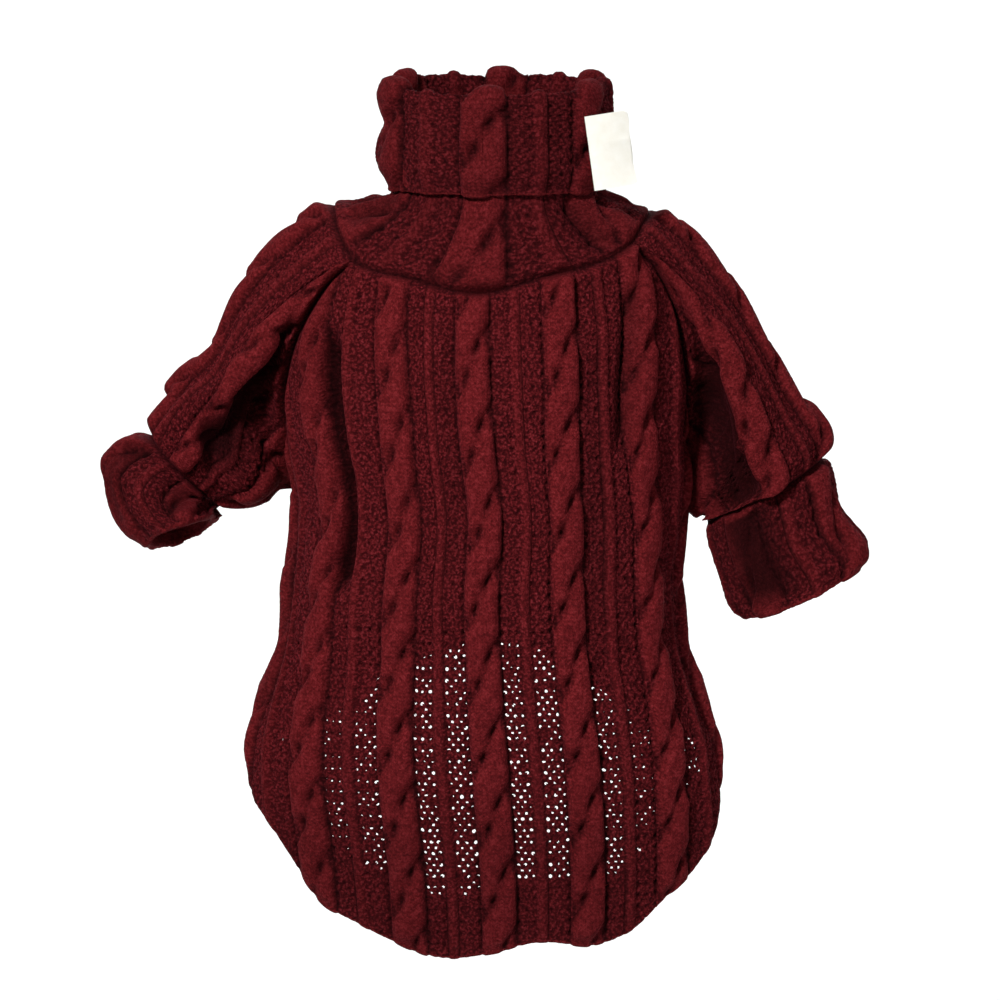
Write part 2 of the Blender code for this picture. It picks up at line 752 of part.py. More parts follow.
def make_tube(name, points, normals, raised, depth, inside_step):
    """A closed tube of cloth from rings of points: raised outside, plain inside, open at both ends."""
    outer = points + normals * raised[..., None]
    inner = points - normals * depth[..., None]
    wall = Wall()
    outer_rings = [wall.add(ring) for ring in outer]
    inner_rings = [wall.add(inner[0])]
    inner_rings += [wall.add(ring[::inside_step]) for ring in inner[1:-1]]
    inner_rings += [wall.add(inner[-1])]
    rings = outer_rings + inner_rings[::-1] + outer_rings[:1]
    for ring, following in zip(rings, rings[1:]):
        wall.zip_lines(ring, following, closed=True)
    return wall.make(name, KNIT)


def tube_columns(repeats, shift=0.0):
    """Column places round a tube as shares of a turn, with pattern repeats, and no place twice."""
    lines = [k + line for k in range(repeats) for line in PITCH_LINES]
    pitches = np.sort((np.array(lines) + shift) % repeats)
    return pitches, pitches / repeats


def make_sleeve(side):
    pitches, _ = tube_columns(SLEEVE_CABLES)
    pitches = np.where(pitches > SLEEVE_CABLES / 2, pitches - SLEEVE_CABLES, pitches)
    pitches = np.sort(pitches)
    across = pitches / (SLEEVE_CABLES / 2) * SLEEVE_HALF_WIDTH
    fractions = np.linspace(0, 1, SLEEVE_ROWS + 1)
    along, across = np.meshgrid(fractions, across, indexing="ij")
    turn = sleeve_turn(side, across, along)
    points = sleeve_point(side, along, turn)
    middle = points.mean(axis=1, keepdims=True)
    plain = grid_normals(points, True, points - middle)
    folds = fold_height(SLEEVE_FOLDS[side], along, turn) * ease(along / 0.12)
    folds = folds * ease((1.02 - along) / 0.08)
    points = points + plain * folds[..., None]
    plain = grid_normals(points, True, points - middle)
    seam = sleeve_seam_normals(side, turn[0])
    cuff = cuff_seam_normals(side, turn[-1])
    stitch = sleeve_stitch(across, along)
    from_seam = (stitch - stitch[:1]) * 0.75
    from_cuff = SLEEVE_LENGTH - stitch
    normals = unit(blend(seam[None] + 0 * plain, plain, ease(from_seam / SEAM_EASE)))
    normals = unit(blend(cuff[None] + 0 * plain, normals, ease(from_cuff / SEAM_EASE)))
    raised = knit_height(pitches[None, :] + 0 * along, stitch)
    raised = raised * ease(from_seam / SEAM_DIP) * ease(from_cuff / SEAM_DIP)
    points = points.copy()
    points[0] = setback(points[0], seam, points[1], closed=True)
    points[-1] = setback(points[-1], cuff, points[-2], closed=True)
    depth = WALL * thickness(normals, plain)
    return make_tube(f"sleeve_{side}", points, normals, raised, depth, SLEEVE_INSIDE_STEP)


def sleeve_seam_normals(side, turns):
    """The shared edge normals round an armhole, the collar's where the sleeve meets the collar."""
    sign = -1 if side == "left" else 1
    normals = np.zeros((len(turns), 3))
    for k, turn in enumerate(turns):
        end = "back" if turn >= 0 else "belly"
        half = ARMHOLES[side, end]
        if abs(turn) < half["turns"][half["corner"]]:
            normals[k] = neck_normal(np.interp(abs(turn), half["turns"], half["angles"]))
        else:
            normals[k] = raglan_normal(side, end, np.interp(abs(turn), half["turns"], half["heights"]))
    return normals


def cuff_seam_normals(side, turns):
    """The shared edge normals round a cuff seam: square to its ring, in the ring's plane."""
    rings = SLEEVE_RINGS[side]
    end = np.ones(len(turns))
    along_ring = ring_point(rings, end, turns + 0.02) - ring_point(rings, end, turns - 0.02)
    chord = ring_point(rings, end, 0 * turns) - ring_point(rings, end, np.pi + 0 * turns)
    axis = np.cross(chord, (0, 1.0, 0))
    normals = unit(np.cross(unit(along_ring), unit(axis)))
    middle = (ring_point(rings, end, turns) + ring_point(rings, end, turns + np.pi)) / 2
    outward = ring_point(rings, end, turns) - middle
    return normals * np.sign((normals * outward).sum(axis=-1, keepdims=True))


def make_cuff(side):
    pitches, shares = tube_columns(CUFF_CABLES, CUFF_PATTERN_SHIFT)
    turns = shares * 2 * np.pi
    fractions = np.linspace(0, 1, CUFF_ROWS + 1)
    along, turn = np.meshgrid(fractions, turns, indexing="ij")
    points = ring_point(CUFF_RINGS[side], along, turn)
    middle = points.mean(axis=1, keepdims=True)
    plain = grid_normals(points, True, points - middle)
    seam = cuff_seam_normals(side, turns)
    stitch = along * CUFF_LENGTH
    normals = unit(blend(seam[None] + 0 * plain, plain, ease(stitch / SEAM_EASE)))
    raised = knit_height(pitches[None, :] - CUFF_PATTERN_SHIFT + 0 * along, stitch)
    raised = raised * ease(stitch / SEAM_DIP)
    points[0] = setback(points[0], seam, points[1], closed=True)
    depth = CUFF_WALL * thickness(normals, plain)
    return make_tube(f"cuff_{side}", points, normals, raised, depth, CUFF_INSIDE_STEP)


# The collar: one tube that stands up from the neck seam, folds over and hangs down outside itself


def collar_ring(angles, half_width, half_depth, height):
    turn = np.radians(angles)
    x = COLLAR_MIDDLE + half_width * np.sin(turn)
    y = -half_depth * np.cos(turn)
    return np.stack(np.broadcast_arrays(x, y, height + 0 * x), axis=-1)


def collar_profile(angles):
    """The middle of the wall at each angle, from the neck seam up, over the fold and down to the edge."""
    seam = body_point(angles, neck_height(angles))
    foot = collar_ring(angles, COLLAR_HALF_WIDTH, COLLAR_HALF_DEPTH, COLLAR_STAND_FOOT)
    rows = []
    for share in (0.0, 0.2, 0.4, 0.6, 0.8, 1.0):
        swing = 1 - (1 - share) ** 1.5
        point = seam * (1 - swing) + foot * swing
        point[:, 2] = seam[:, 2] * (1 - share) + foot[:, 2] * share
        rows.append(("funnel", point))
    out = TURN_DOWN_OUT
    for share in (0.5, 1.0):
        height = COLLAR_STAND_FOOT + (COLLAR_TOP - COLLAR_STAND_FOOT) * share
        rows.append(("stand", collar_ring(angles, COLLAR_HALF_WIDTH, COLLAR_HALF_DEPTH, height)))
    for share in (0.25, 0.5, 0.75):
        turn = np.pi * share
        reach = out / 2 * (1 - np.cos(turn))
        height = COLLAR_TOP + out / 2 * np.sin(turn)
        ring = collar_ring(angles, COLLAR_HALF_WIDTH + reach, COLLAR_HALF_DEPTH + reach, height)
        rows.append(("fold", ring))
    for share in np.linspace(0, 1, 8):
        flare = out + COLLAR_FLARE * share
        height = COLLAR_TOP - (COLLAR_TOP - TURN_DOWN_EDGE) * share
        ring = collar_ring(angles, COLLAR_HALF_WIDTH + flare, COLLAR_HALF_DEPTH + flare, height)
        rows.append(("turn-down", ring))
    return rows


def make_collar():
    pitches, shares = tube_columns(COLLAR_CABLES)
    angles = shares * 360 + COLLAR_PATTERN_ANGLE
    rows = collar_profile(angles)
    kinds = [kind for kind, _ in rows]
    points = np.array([ring for _, ring in rows])
    outward = np.zeros_like(points)
    outward[1] = points[1] - points[1].mean(axis=0)
    plain = grid_normals(points, True, outward)
    steps = np.linalg.norm(np.diff(points, axis=0), axis=2).mean(axis=1)
    lengths = np.concatenate([[0], np.cumsum(steps)])
    seam = neck_normal(angles)
    share = ease(lengths / SEAM_EASE)[:, None] + np.zeros(len(angles))
    normals = unit(blend(seam[None] + 0 * plain, plain, share))
    raised = knit_height(pitches[None, :], lengths[:, None])
    on_funnel = np.array([kind == "funnel" for kind in kinds])[:, None]
    on_turn_down = np.array([kind in ("fold", "turn-down") for kind in kinds])[:, None]
    fold_ease = ease((lengths - lengths[kinds.index("fold") - 1]) / SEAM_DIP)[:, None]
    seam_ease = ease(lengths / SEAM_DIP)[:, None]
    foot_ease = ease((lengths[kinds.index("stand") - 1] - lengths) / SEAM_DIP)[:, None]
    points[0] = setback(points[0], seam, points[1], closed=True)
    half = WALL / 2
    first_face = points + normals * (half + raised * on_funnel * seam_ease * foot_ease)[..., None]
    second_face = points - normals * (half + raised * on_turn_down * fold_ease)[..., None]
    first_face[0] = points[0]
    second_face[0] = points[0] - seam * WALL
    wall = Wall()
    fine_first = [kind == "funnel" for kind in kinds]
    fine_first[-1] = True
    fine_second = [kind in ("fold", "turn-down") for kind in kinds]
    fine_second[0] = True
    first_rings = [wall.add(face if fine else face[::2]) for face, fine in zip(first_face, fine_first)]
    second_rings = [wall.add(face if fine else face[::2]) for face, fine in zip(second_face, fine_second)]
    rings = first_rings + second_rings[::-1] + first_rings[:1]
    for ring, following in zip(rings, rings[1:]):
        wall.zip_lines(ring, following, closed=True)
    return wall.make("collar", KNIT)


def make_label():
    """A tape folded in two, sewn by its two ends to the turn-down and standing off it sideways."""
    out = TURN_DOWN_OUT + WALL / 2 + CABLE_HEIGHT + TAG_STAND_OFF
    half_width, half_depth = COLLAR_HALF_WIDTH + out, COLLAR_HALF_DEPTH + out
    sewn = collar_ring(np.array([TAG_ANGLE]), half_width, half_depth, TAG_MIDDLE)[0]
    lean = np.radians(TAG_LEAN)
    along = unit(np.array([np.cos(lean), np.tan(np.radians(TAG_TURN_AWAY)), np.sin(lean)]))
    up = unit(np.array([-np.sin(lean), 0.0, np.cos(lean)]))
    facing = unit(np.cross(up, along))
    wall = Wall()
    rings = []
    for level in np.linspace(-0.5, 0.5, 7):
        bow = TAG_BOW * np.cos(np.pi * level)
        centre = sewn + up * level * TAG_HEIGHT
        near, far = [], []
        for share in np.linspace(0, 1, 6):
            spread = TAG_THICK / 2 * (1 + TAG_SWELL * np.sin(np.pi * share))
            middle = centre + along * share * TAG_WIDTH + facing * bow * share**2
            near.append(middle + facing * spread)
            far.append(middle - facing * spread)
        fold = centre + along * (TAG_WIDTH + TAG_THICK / 2) + facing * bow
        rings.append(wall.add(near + [fold] + far[::-1]))
    for ring, following in zip(rings, rings[1:]):
        wall.zip_lines(ring, following, closed=True)
    for ring in (rings[0], rings[-1]):
        half = len(ring) // 2
        for k in range(half - 1):
            wall.faces.append((ring[k], ring[k + 1], ring[-2 - k], ring[-1 - k]))
        wall.faces.append((ring[half - 1], ring[half], ring[half + 1]))
    return wall.make("label", TAPE)


def main():
    for old in list(bpy.data.objects):
        bpy.data.objects.remove(old, do_unlink=True)
    make_panel("back", BACK_ROWS)
    make_panel("belly", BELLY_ROWS)
    for side in ("left", "right"):
        make_sleeve(side)
        make_cuff(side)
    make_collar()
    make_label()


main()
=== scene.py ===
"""The look of the cable-knit dog sweater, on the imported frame.

X points to the right of someone who looks at the back panel, Y points away from them and Z points up.
The origin is at the centre of the neck seam. Sizes are in millimetres until a mesh is made. The surfaces are
those that the solids have, and the knit's cables, ribs, mesh and hems are worked out on them.
"""

from collections import namedtuple

import bpy
import numpy as np
from mathutils import Matrix


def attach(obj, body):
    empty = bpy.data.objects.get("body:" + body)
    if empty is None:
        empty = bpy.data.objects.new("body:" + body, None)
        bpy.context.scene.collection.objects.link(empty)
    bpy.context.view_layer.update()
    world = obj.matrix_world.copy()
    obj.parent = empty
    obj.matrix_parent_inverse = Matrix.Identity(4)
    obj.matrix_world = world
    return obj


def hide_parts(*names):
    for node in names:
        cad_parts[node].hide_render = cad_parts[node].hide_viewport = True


# A millimetre in metres, and the millimetres in one unit of the knit's map
METRES = 0.001
MAP_UNIT = 10.0
SIGNS = {"left": -1, "right": 1}

# Cloth
HEM_BAND = 22.0
HEM_DEPTH = 2.6
HEM_ROWS = 12
SEAM_EASE = 14.0
SEAM_PLUNGE = 2.6
SEAM_GROOVE = 1.5
SEAM_DARKNESS, SEAM_DARK_HALF = 0.9, 1.2
UNDERARM_EASE = 6.0
KNIT_FADE = 4.0

# Panels
SIDE_SEAM_ANGLE = 110.0
BACK_HALF_GIRTH = 112.0
BELLY_HALF_GIRTH = 80.0
MIDDLE_HEIGHT = -60.0
EDGE_PASSES = 12
DRIFT_HEIGHTS, BACK_DRIFT = (-200, -20), (0.026, -0.050)
NECK_RISE, SHOULDER_RISE = 12.0, 34.0
SWAY_HALF_WIDTH, SWAY_HALF_HEIGHT = 14, 32

BAND_RIDGE, BAND_RIDGE_HALF = 0.35, 1.6
TAIL_SHADE, TAIL_SHADE_TOP, TAIL_SHADE_RUN = 0.22, -190, 40
PANEL_FOLD_SHADE = 0.12

# Sleeves, as a flat cut: a neck edge, two raglan edges and an underarm edge
SLEEVE_NECK_HALF = 36.0
SLEEVE_HALF_WIDTH = 85.0
SLEEVE_RAGLAN_DROP = 88.0
SLEEVE_LENGTH = 118.0
SLEEVE_RUN = 94.0
SLEEVE_RADIUS = 27.0
SLEEVE_CABLES = 5
SLEEVE_PATTERN_SHIFT = 8.25
ARMHOLE_TOP_ANGLE = 95.0
ARMHOLE_FADE = 0.6
CUFF_CABLES = 4
CUFF_LENGTH = 34.0
CUFF_RADIUS = 22.0
CUFF_PATTERN_SHIFT = 0.4
SLEEVE_FOLD_DEPTH, SLEEVE_FOLD_SHADE = 1.6, 0.27
CUFF_SHADE, CUFF_FOLD_SHADE = 0.12, 0.22

# Collar. The rim of its fold dips on the near side and rises on the far side, above a height
COLLAR_CABLES = 6
COLLAR_MIDDLE = 2.0
COLLAR_HALF_WIDTH = 38.5
COLLAR_HALF_DEPTH = 36.5
COLLAR_TOP = 57.0
COLLAR_STAND_FOOT = 17.5
COLLAR_PATTERN_ANGLE = -6.0
COLLAR_PATTERN_SHIFT = 6.0
COLLAR_FLARE = 1.2
TURN_DOWN_EDGE = 19.5
TURN_DOWN_OUT = 3.6
TURN_DOWN_TUCK = 2.2
TURN_DOWN_DEPTH = 1.5
SHOULDER_FADE = 8.0
RIM_DIP, RIM_RISE, RIM_FOOT = 3.2, 0.8, 38.0
COLLAR_SHADE, COLLAR_FOLD_SHADE = 0.18, 0.14

# Tag
TAG_WIDTH = 15.5
TAG_HEIGHT = 27.0
TAG_LEAN = 8.0
TAG_ANGLE = 45.0
TAG_MIDDLE = 33.5
TAG_STAND_OFF = 1.6
TAG_TURN_AWAY = 12.0
TAG_BOW = 0.8
TAG_CORNER = 1.8
TAG_HALF_GAP = 0.62
TAG_PLY_COLUMNS = 26
TAG_FOLD_STEPS = 8

# The knit's pattern: a repeat is a cable, a narrow mesh, a rib and a wide mesh, in shares of the pitch
CABLE_PITCH = 33.0
CABLE_CROSSING = 28.5
CABLE_COLUMNS = 15
CABLE_PHASE = 0.447
STRAND_OUT = 2.9
STRAND_HALF = 3.5
STRAND_SPREAD = 2.5
STRAND_CREST = 3.5
CROSSING_RISE, CROSSING_DIP = 0.4, 2.2
SLIT_HALF_WIDTH, SLIT_HALF_LENGTH, SLIT_SLOPE = 1.05, 3.6, 0.25
CABLE_FLANK = 5.7
RIB_COLUMNS = 4
RIB_CREST = 2.0
MESH_CREST = 0.45
HOLES_ACROSS = 3
HOLE_ROW = 4.55
HOLE_HALF = 0.70
HOLE_SHARPNESS = 0.72
HOLE_MARGIN = 0.95
SMALL_HALF = 0.34
MAIN_PIT_HALF, SMALL_PIT_HALF_WIDTH, SMALL_PIT_HALF_HEIGHT = 0.8, 0.55, 0.6
FLANK_HALF = 0.9
KNIT_SINK = 0.8
HOLE_SHIFT, HOLE_RISE, LOOSE_SHIFT = 0.25, 0.3, 0.15
CABLE_CLEARANCE = 6.8
ROW_LINES = (-0.70, 0.0, 0.70, 1.32, 1.93, 2.62, 3.23)
SMALL_ROW_LINE = 1.93
PLAIN_LINES = (0.0, 0.91, 1.82, 2.73, 3.64)
TAIL_HOLES_BELOW = -140.0
CLOSE_LACE_FROM, CLOSE_LACE_RUN = 30.0, 28.0

# Yarn and tape
STITCH_WIDTH, STITCH_HEIGHT = 1.7, 1.35
TAPE_WARP, TAPE_WEFT = 0.45, 0.38
YARN = (0.124, 0.0088, 0.0108, 1)
YARN_BRIGHT = (0.195, 0.0180, 0.0220, 1)
YARN_DULL = (0.068, 0.0050, 0.0063, 1)
# The near-black colour of painted shade, mixed in where the stitches part and by the painted shade map
YARN_PAINTED_SHADE = (0.008, 0.0010, 0.0013, 1)
YARN_SHADE = (0.028, 0.0020, 0.0030, 1)
YARN_LOOP = (0.096, 0.0073, 0.0094, 1)
YARN_GLINT = (0.195, 0.0215, 0.0285, 1)
YARN_FUZZ = (0.55, 0.06, 0.10, 1)
TAPE_DULL = (0.92, 0.905, 0.82, 1)
TAPE_BRIGHT = (0.97, 0.965, 0.90, 1)
TAPE_SHADE = (0.80, 0.75, 0.62, 1)
WHITE = (1.0, 1.0, 1.0, 1)

# Stage, in metres
FLOOR = -0.42
FLOOR_FRONT, FLOOR_BACK, FLOOR_HALF_WIDTH = -3.0, 1.6, 5.0
WALL_BEND, WALL_TOP = 1.2, 4.5
CAMERA_PLACE = (0.0, -1.2951, 0.1133)
CAMERA_AIM = (0.00375, 0.0, -0.0988)
CAMERA_LENS = 125.2


def table(row_type, *rows):
    """A table with named columns."""
    return tuple(row_type(*row) for row in rows)


BodySection = namedtuple("BodySection", "height middle half_width back_depth belly_depth")
BODY_SECTIONS = table(
    BodySection,
    (-276, 1.0, 90.0, 29, 34),
    (-235, 0.0, 90.5, 33, 38),
    (-197, -2.6, 89.5, 38, 41),
    (-175, -3.0, 83.5, 42, 43),
    (-155, -3.0, 76.5, 44, 45),
    (-130, -2.8, 73.8, 46, 46),
    (-99, 0.0, 72.8, 46, 46),
    (-70, -1.6, 75.5, 46, 45),
    (-45, -2.0, 76.5, 44, 43),
    (-20, -1.0, 73.5, 40, 40),
    (0, 0.0, 66.0, 37, 38),
    (16, 0.0, 59.0, 35, 37),
)

EdgeRow = namedtuple("EdgeRow", "angle height")
NECK_EDGE = table(
    EdgeRow,
    (-180, -4.0), (-145, 2.0), (-120, 10.0), (-95, 14.0), (-80, 12.5), (-63, 4.5),
    (-49, -4.5), (-25, -11.0), (0, -16.0), (15, -11.0), (40, -4.5), (55, 1.5),
    (68, 8.0), (85, 11.0), (100, 11.5), (120, 9.0), (145, 2.0), (180, -4.0),
)
UNDERARM_HEIGHT = -99.0
BELLY_RAGLAN = table(EdgeRow, (145, 2), (137, -22), (128, -50), (118, -77), (110, -99))
RAGLAN_EDGES = {
    ("left", "back"): table(EdgeRow, (49, -4.5), (58, -20), (68, -37), (80, -58), (94, -79), (110, -99)),
    ("right", "back"): table(EdgeRow, (55, 1.5), (64, -13), (73, -32), (83, -54), (95, -77), (110, -99)),
    ("left", "belly"): BELLY_RAGLAN,
    ("right", "belly"): BELLY_RAGLAN,
}
HEMS = {
    "back": table(
        EdgeRow,
        (-110, -194), (-90, -199), (-76, -212.5), (-64, -221.5), (-56, -233), (-46, -248), (-34, -256),
        (-25, -262), (-14, -268), (0, -266), (11, -262), (27, -263.5), (37, -258), (47, -247),
        (59, -237), (71, -226), (84, -207), (94, -198), (110, -194),
    ),
    "belly": table(
        EdgeRow,
        (110, -194), (125, -191), (138, -186), (150, -175), (165, -163), (176, -158.5),
        (190, -164), (208, -173), (222, -187), (236, -192), (250, -194),
    ),
}

# A ring of a sleeve or cuff: its top point, its low point, how deep it is from front to back, and how far
# its near side leans sideways and up
Ring = namedtuple("Ring", "along top_x top_y top_z low_x low_y low_z depth near_x near_z")
SLEEVE_RINGS = {
    "left": table(
        Ring,
        (0.0, -59.5, 3, 13.0, -68.5, 15.5, -101, 22, 0, 0),
        (0.2, -75.5, 5, 1.5, -76.0, 16.0, -100.5, 25, 0, 0),
        (0.4, -91.0, 6, -16.5, -83.0, 15.0, -100.5, 28, -1, 0),
        (0.6, -101.5, 6, -39.0, -90.0, 13.0, -100.5, 29, -2, 1),
        (0.8, -114.5, 6, -53.5, -96.5, 11.0, -101, 27, -2, 2),
        (1.0, -129.0, 6, -73.0, -103.0, 9.0, -101, 23, -1, 2),
    ),
    "right": table(
        Ring,
        (0.0, 59.5, 3, 10.5, 68.5, 15.5, -101, 22, 0, 0),
        (0.2, 75.0, 5, -1.0, 72.0, 15.0, -104, 25, 0, 0),
        (0.4, 90.5, 6, -19.0, 75.5, 13.0, -105, 28, 1, 0),
        (0.6, 102.5, 6, -39.5, 78.5, 10.0, -105.5, 28, 2, 0),
        (0.8, 114.5, 6, -59.0, 80.5, 7.0, -106, 26, 2, 0),
        (0.92, 125.0, 6, -74.5, 81.5, 5.0, -106, 24, 1, 0),
        (1.0, 127.0, 6, -82.5, 82.0, 4.0, -106, 22, 0, 0),
    ),
}
CUFF_RINGS = {
    "left": table(
        Ring,
        (0.0, -129.0, 6, -73.0, -103.0, 9.0, -101, 23, -1, 2),
        (0.3, -141.5, 5, -79.0, -104.0, 5.0, -102.0, 24, -1, 2.5),
        (0.5, -146.0, 4, -87.0, -104.5, 1.0, -102.5, 24.5, -1.5, 3),
        (0.75, -140.5, 1, -104.5, -104.0, -3.0, -103.0, 25, -2, 5),
        (1.0, -129.5, -2, -116.5, -103.5, -8.0, -103.0, 25.5, -2.4, 6),
    ),
    "right": table(
        Ring,
        (0.0, 127.0, 6, -82.5, 82.0, 4.0, -106, 22, 0, 0),
        (0.25, 130.0, 5, -91.0, 83.0, 2.0, -115, 22.5, 0, 0),
        (0.5, 132.5, 4, -102.5, 87.0, 0.0, -127, 22, 0, 0),
        (0.8, 142.5, 2, -115.5, 91.0, -3.0, -138.5, 21.5, 0, 0),
        (1.0, 141.5, 0, -122.0, 95.0, -5.0, -142.5, 21, 0, 0.5),
    ),
}

# A fold of a sleeve or cuff runs straight from one place to another. A place is how far along it is and the
# angle round it: 0 is the top, 90 the near side, 180 the underarm and -90 the far side
Fold = namedtuple("Fold", "from_along from_angle to_along to_angle lift half_width")
SLEEVE_FOLDS = {
    "left": table(
        Fold,
        (0.22, 78, 1.05, 44, 3.2, 5),
        (0.12, 104, 0.80, 96, -4.0, 12),
        (0.30, 150, 1.00, 140, 2.0, 6),
        (0.75, -2, 0.86, 10, 2.6, 7),
        (0.20, -80, 0.85, -55, 2.4, 6),
        (0.15, -112, 0.75, -105, -3.0, 10),
    ),
    "right": table(
        Fold,
        (0.25, 62, 0.95, 70, 2.4, 6),
        (0.10, 112, 0.90, 118, -4.4, 14),
        (0.55, 96, 1.02, 88, 2.6, 4),
        (0.86, 20, 0.97, -20, 2.2, 7),
        (0.25, -70, 0.95, -60, 2.4, 6),
        (0.12, -110, 0.80, -104, -3.0, 10),
    ),
}
CUFF_FOLDS = {
    "left": table(
        Fold,
        (0.0, 52, 0.85, 40, -2.4, 3.5),
        (0.1, 118, 0.9, 112, -2.0, 6),
        (0.1, -100, 0.9, -95, -1.8, 6),
    ),
    "right": table(
        Fold,
        (-0.2, 122, 0.95, 116, -4.2, 11),
        (0.1, 72, 1.0, 80, 1.2, 5),
        (0.0, -105, 0.9, -100, -2.0, 7),
    ),
}

# A fold of a panel runs straight from one place to another: a place across the panel and a height
PanelFold = namedtuple("PanelFold", "from_place from_height to_place to_height lift half_width")
PANEL_FOLDS = {
    "back": table(
        PanelFold,
        (-57.0, -34, -55.8, -86, -8.0, 3.5),
        (-55.8, -84, -57.5, -126, -7.0, 3.5),
        (62.0, -18, 57.0, -74, -4.0, 3.8),
        (-86.0, -112, -93.0, -180, -2.4, 6.0),
        (84.0, -118, 90.0, -182, -2.0, 6.0),
        (-8.0, -30, -12.0, -120, -1.2, 4.0),
        (46.0, -40, 44.0, -130, -1.2, 5.0),
    ),
    "belly": table(
        PanelFold,
        (-46, -40, -60, -150, -2.2, 7),
        (38, -30, 52, -140, -2.4, 7),
        (4, -90, -6, -165, 1.8, 8),
    ),
}

# Where the lines of stitches sway sideways on the back panel
Sway = namedtuple("Sway", "place height shift")
SWAYS = table(
    Sway,
    (-66, -95, 5.5), (-33, -60, 4.0), (-33, -120, 3.0),
    (33, -90, -3.0), (66, -70, -4.5), (66, -152, 3.0),
)

# A fold runs up the collar's funnel at an angle; a bulge of the turn-down is at an angle and a height
FunnelFold = namedtuple("FunnelFold", "angle lift half_width")
FUNNEL_FOLDS = table(
    FunnelFold,
    (-66, -2.8, 8), (43, -2.8, 6), (-32, -1.0, 6),
    (74, 1.2, 9), (-92, -2.2, 14), (94, -2.2, 14),
)
Bulge = namedtuple("Bulge", "angle height lift half_width half_height")
COLLAR_BULGES = table(
    Bulge,
    (-86, 43.5, -2.8, 26, 4.5),
    (-84, 22.0, -2.6, 26, 4.0),
    (-88, 31.5, 0.8, 24, 4.5),
    (-84, 54.0, 0.6, 22, 4.0),
    (64, 46.0, 1.2, 20, 7.0),
    (4, 30.0, 0.7, 16, 8.0),
)

Strip = namedtuple("Strip", "kind start end")
STRIPS = table(
    Strip,
    ("cable", -0.195, 0.195),
    ("mesh", 0.195, 0.415),
    ("rib", 0.415, 0.550),
    ("mesh", 0.550, 0.805),
)

# The slits of a cable, sunk and darkened with painted shade, where one strand comes out from under the other
Slit = namedtuple("Slit", "phase place")
CABLE_SLITS = table(Slit, (0.82, -2.2), (0.17, 1.6))

Light = namedtuple("Light", "name place aim size energy colour spread")
LIGHTS = table(
    Light,
    ("key", (-0.66, -1.32, 0.86), (0.03, 0.0, -0.15), 0.28, 1.42, (1.0, 0.98, 0.96), 34.0),
    ("fill", (1.25, -0.95, 0.2), (0.0, 0.0, -0.10), 0.7, 5.2, (0.98, 0.98, 1.0), 180.0),
    ("rim", (0.4, 1.3, 1.0), (0.0, 0.0, -0.05), 0.9, 3.0, (1.0, 1.0, 1.0), 180.0),
    ("backdrop", (0.0, 0.9, 1.4), (0.0, 2.6, 0.1), 1.8, 90.0, (1.0, 1.0, 1.0), 180.0),
)

# A record of how a piece of cloth is cut: its flat size and area, in metres, with what is turned in. No piece
# is given one here.
Cut = namedtuple("Cut", "flat area held rests_on")


# Curves and shares


def unit(vectors):
    return vectors / np.linalg.norm(vectors, axis=-1, keepdims=True)


def stacked(*parts):
    """Points or pairs from their parts."""
    return np.stack(np.broadcast_arrays(*parts), axis=-1)


def ease(value):
    """Goes smoothly from 0 to 1 as the value does."""
    value = np.clip(value, 0, 1)
    return value * value * (3 - 2 * value)


def bell(offset, half_width):
    """1 in the middle, and next to nothing from two half widths away."""
    return np.exp(-((offset / half_width) ** 2))


def toward(edge, normals, distance, run):
    """Normals that turn to those of an edge over a run before it."""
    share = ease(distance / run)[..., None]
    return unit(edge * (1 - share) + normals * share)


def running(points):
    """How far along its line of points each point is."""
    steps = np.linalg.norm(np.diff(points, axis=-2), axis=-1)
    return np.insert(np.cumsum(steps, axis=-1), 0, 0, axis=-1)


def interpolated(at, places, vectors):
    return np.stack([np.interp(at, places, part) for part in vectors.T], axis=-1)


def smooth_curve(places, values, at):
    """Smooth curves through values at rising places, read at other places."""
    slopes = np.gradient(values, places, axis=0)
    before = np.clip(np.searchsorted(places, at) - 1, 0, len(places) - 2)
    shape = np.shape(at) + (1,) * (values.ndim - 1)
    width = (places[before + 1] - places[before]).reshape(shape)
    t = (at - places[before]).reshape(shape) / width
    return (
        (1 + 2 * t) * (1 - t) ** 2 * values[before]
        + t * (1 - t) ** 2 * width * slopes[before]
        + t**2 * (3 - 2 * t) * values[before + 1]
        + t**2 * (t - 1) * width * slopes[before + 1]
    )


def smooth_line(rows, name, at):
    """A table's value at a place on the smooth line through its rows. The first column has their places."""
    places = np.array([row[0] for row in rows], float)
    values = np.array([getattr(row, name) for row in rows], float)
    if places[0] > places[-1]:
        places, values = places[::-1], values[::-1]
    return smooth_curve(places, values, np.clip(at, places[0], places[-1]))


def fold_lift(folds, x, y, x_scale=1.0, y_scale=1.0, end_sharpness=4):
    """How far straight folds lift the cloth. The scales turn their places into millimetres."""
    total = 0.0
    for from_x, from_y, to_x, to_y, lift, half_width in folds:
        run, rise = (to_x - from_x) * x_scale, (to_y - from_y) * y_scale
        over, up = (x - from_x) * x_scale, (y - from_y) * y_scale
        size = np.hypot(run, rise)
        share = (over * run + up * rise) / size**2
        off = (up * run - over * rise) / size
        ends = ease(share * end_sharpness + 0.5) * ease((1 - share) * end_sharpness + 0.5)
        total = total + lift * bell(off, half_width) * ends
    return total


def tube_folds(folds, along, turn, length, radius):
    """How far the folds of a sleeve or cuff lift its cloth."""
    return fold_lift(folds, along, np.degrees(turn), length, np.radians(radius), 5)


# The body and its seams


def body_point(angle, height):
    turn = np.radians(angle)
    names = BodySection._fields[1:]
    middle, half_width, back, belly = (smooth_line(BODY_SECTIONS, name, height) for name in names)
    depth = np.where(np.cos(turn) > 0, back, belly)
    return stacked(middle + half_width * np.sin(turn), -depth * np.cos(turn), height)


